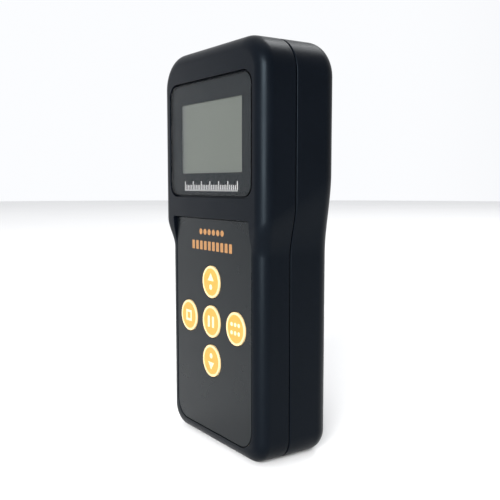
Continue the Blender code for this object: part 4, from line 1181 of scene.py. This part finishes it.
def contact_form(name, low, high, plate_low, plate_high):
    """A thin plate across Z with rounded corners and chamfered edges."""
    centre = ((low.x + high.x) / 2, (low.y + high.y) / 2)
    edge = CONTACT_EDGE
    rings = []
    for margin, z in ((edge, plate_low), (0, plate_low + edge), (0, plate_high - edge), (edge, plate_high)):
        width = high.x - low.x - 2 * margin
        height = high.y - low.y - 2 * margin
        outline = rounded_rectangle(width, height, CONTACT_CORNER - margin, *centre, 6)
        rings.append([(x, y, z) for x, y in outline])
    return skin(name, rings)


def contact_button(name, x, root, tip):
    """A domed button from a plate's face to its tip, above it or below it."""
    dome = ((0, 0.0), (0, 0.75), (0.15 * MM, 0.88), (0.4 * MM, 0.96), (0.7 * MM, 1.0))
    profile = [(BUTTON_RADIUS - inset, root + (tip - root) * share) for inset, share in dome]
    return upright(name, profile if tip > root else profile[::-1], x, CELL_Y, 40)


def make_bridge():
    """The plate at the cells' low end, with a button up to the right cell's pole."""
    low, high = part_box("contact_bridge")
    plate_high = low.z + CONTACT_THICKNESS
    form = contact_form("bridge_form", low, high, low.z, plate_high)
    button = contact_button("bridge_button", CELL_RIGHT_X, low.z, high.z)
    bridge = solid("bridge_plate", form, ("UNION", button))
    piece("bridge_plate", bridge, NICKEL, "case", "contact", "contact_bridge")


def make_top_contact(name, node, has_button):
    """A plate at the cells' high end. The positive one has a button down to the left cell's pole."""
    low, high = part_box(node)
    plate_low = high.z - CONTACT_THICKNESS if has_button else low.z
    form = contact_form(f"{name}_form", low, high, plate_low, plate_low + CONTACT_THICKNESS)
    steps = []
    if has_button:
        steps.append(("UNION", contact_button(f"{name}_button", CELL_LEFT_X, high.z, low.z)))
    piece(name, solid(name, form, *steps), NICKEL, "case", "contact", node)


# ---------------------------------------------------------------- pieces inside the case
INNER_FINISHES = {
    "lcd_glass": LCD,
    "lcd_frame": WHITE_PLASTIC,
    "lcd_backlight": DIFFUSER,
    "lcd_connector": SILICONE,
    "main_board": BOARD,
    "geiger_tube": TUBE_GLASS,
    "tube_anode_cap": BRASS,
    "tube_cathode_cap": BRASS,
    "tube_anode_clip": NICKEL,
    "tube_cathode_clip": NICKEL,
    "compensation_sleeve": TIN,
    "hv_transformer": FERRITE,
    "hv_capacitor_1": CAPACITOR_RED,
    "hv_capacitor_2": CAPACITOR_RED,
    "smoothing_capacitor": CAPACITOR_SLEEVE,
    "microcontroller": CHIP,
    "crystal": SCREW_STEEL,
    "buzzer": BUZZER_BLACK,
}
INNER_FINISHES.update({f"switch_{name}": TIN for name in KEYS})
INNER_FINISHES.update({f"board_screw_{i}": SCREW_STEEL for i in range(1, 5)})


def finish_inside():
    """Gives each inner node of the frame the finish of its kind."""
    for node, finish in INNER_FINISHES.items():
        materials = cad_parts[node].data.materials
        materials.clear()
        materials.append(finish)


# ---------------------------------------------------------------- stage, lights and camera
FLOOR_RADIUS = 4.0
FLOOR_TOP = -0.0001
FLOOR_THICKNESS = 0.02
LIGHT_TARGET = (0, 0, 0.08)
STUDIO_COLOUR = (0.97, 0.98, 1.0, 1.0)
DARK_SIDE = (0.83, 0.55, 0.0)      # the studio is darker behind the instrument's right side
DARK_START = -0.2
DARK_END = 0.8
BRIGHT_STRENGTH = 1.0
DARK_STRENGTH = 0.56
CAMERA_PLACE = (0.2226, -0.14875, 0.0973)
CAMERA_DIRECTION = (-0.82374, 0.55934, -0.09268)
CAMERA_LENS = 51.06
CAMERA_SENSOR = 36.0
CAMERA_CLIP_START = 0.01


def aimed(direction):
    """Rotation that points an object's -Z along a direction."""
    return direction.to_track_quat("-Z", "Y").to_euler()


def area_light(name, location, size, power):
    light = bpy.data.lights.new(name, "AREA")
    light.shape = "RECTANGLE"
    light.size, light.size_y = size
    light.energy = power
    made = bpy.data.objects.new(name, light)
    made.location = location
    made.rotation_euler = aimed(Vector(LIGHT_TARGET) - Vector(location))
    bpy.context.collection.objects.link(made)


def make_floor():
    disc = circle(FLOOR_RADIUS, 0, 0, 64)
    bm = bmesh.new()
    add_skin(bm, [[(x, y, z) for x, y in disc] for z in (FLOOR_TOP - FLOOR_THICKNESS, FLOOR_TOP)])
    floor = bpy.data.objects.new("floor", to_mesh("floor", bm))
    bpy.context.collection.objects.link(floor)
    surface = Surface("pale_floor", 0.85)
    surface.colour(surface.mix(surface.noise(0.3, 3.0), (0.82, 0.82, 0.82), (0.86, 0.86, 0.86)))
    floor.data.materials.append(surface.material)


def make_studio():
    """A pale world that fades towards its dark side, and four soft lights."""
    world = bpy.data.worlds.new("studio")
    world.use_nodes = True
    tree = world.node_tree
    direction = tree.nodes.new("ShaderNodeTexCoord")
    facing = tree.nodes.new("ShaderNodeVectorMath")
    facing.operation = "DOT_PRODUCT"
    facing.inputs[1].default_value = DARK_SIDE
    fade = tree.nodes.new("ShaderNodeMapRange")
    fade.interpolation_type = "SMOOTHSTEP"
    fade.inputs["From Min"].default_value = DARK_START
    fade.inputs["From Max"].default_value = DARK_END
    fade.inputs["To Min"].default_value = BRIGHT_STRENGTH
    fade.inputs["To Max"].default_value = DARK_STRENGTH
    background = tree.nodes["Background"]
    background.inputs["Color"].default_value = STUDIO_COLOUR
    tree.links.new(direction.outputs["Generated"], facing.inputs[0])
    tree.links.new(facing.outputs["Value"], fade.inputs["Value"])
    tree.links.new(fade.outputs["Result"], background.inputs["Strength"])
    bpy.context.scene.world = world
    bpy.context.scene.view_settings.view_transform = "Standard"
    area_light("left_softbox", (-1.1, -0.45, 0.12), (0.2, 0.5), 0.5)
    area_light("front_softbox", (0.62, -0.8, 0.36), (0.45, 0.7), 26)
    area_light("top_softbox", (0, 0, 3), (2, 2), 8)
    area_light("rear_softbox", (-0.5, 1.5, 2.2), (1, 1), 20)


def make_camera():
    lens = bpy.data.cameras.new("camera")
    lens.lens = CAMERA_LENS
    lens.sensor_width = CAMERA_SENSOR
    lens.clip_start = CAMERA_CLIP_START
    camera = bpy.data.objects.new("camera", lens)
    camera.location = CAMERA_PLACE
    camera.rotation_euler = aimed(Vector(CAMERA_DIRECTION))
    bpy.context.collection.objects.link(camera)
    bpy.context.scene.camera = camera


make_front_housing()
make_rear_housing()
make_battery_door()
make_screws()
make_window()
make_scale_marks()
make_foil()
make_keypad_marks()
for key in KEYS:
    make_key(key)
make_cell("cell_left", "battery_left", True)
make_cell("cell_right", "battery_right", False)
make_spring("spring_left", "contact_spring_left", CELL_LEFT_X, True)
make_spring("spring_right", "contact_spring_right", CELL_RIGHT_X, False)
make_bridge()
make_top_contact("positive_plate", "contact_positive", True)
make_top_contact("negative_plate", "contact_negative", False)
make_label()
finish_inside()
make_floor()
make_studio()
make_camera()
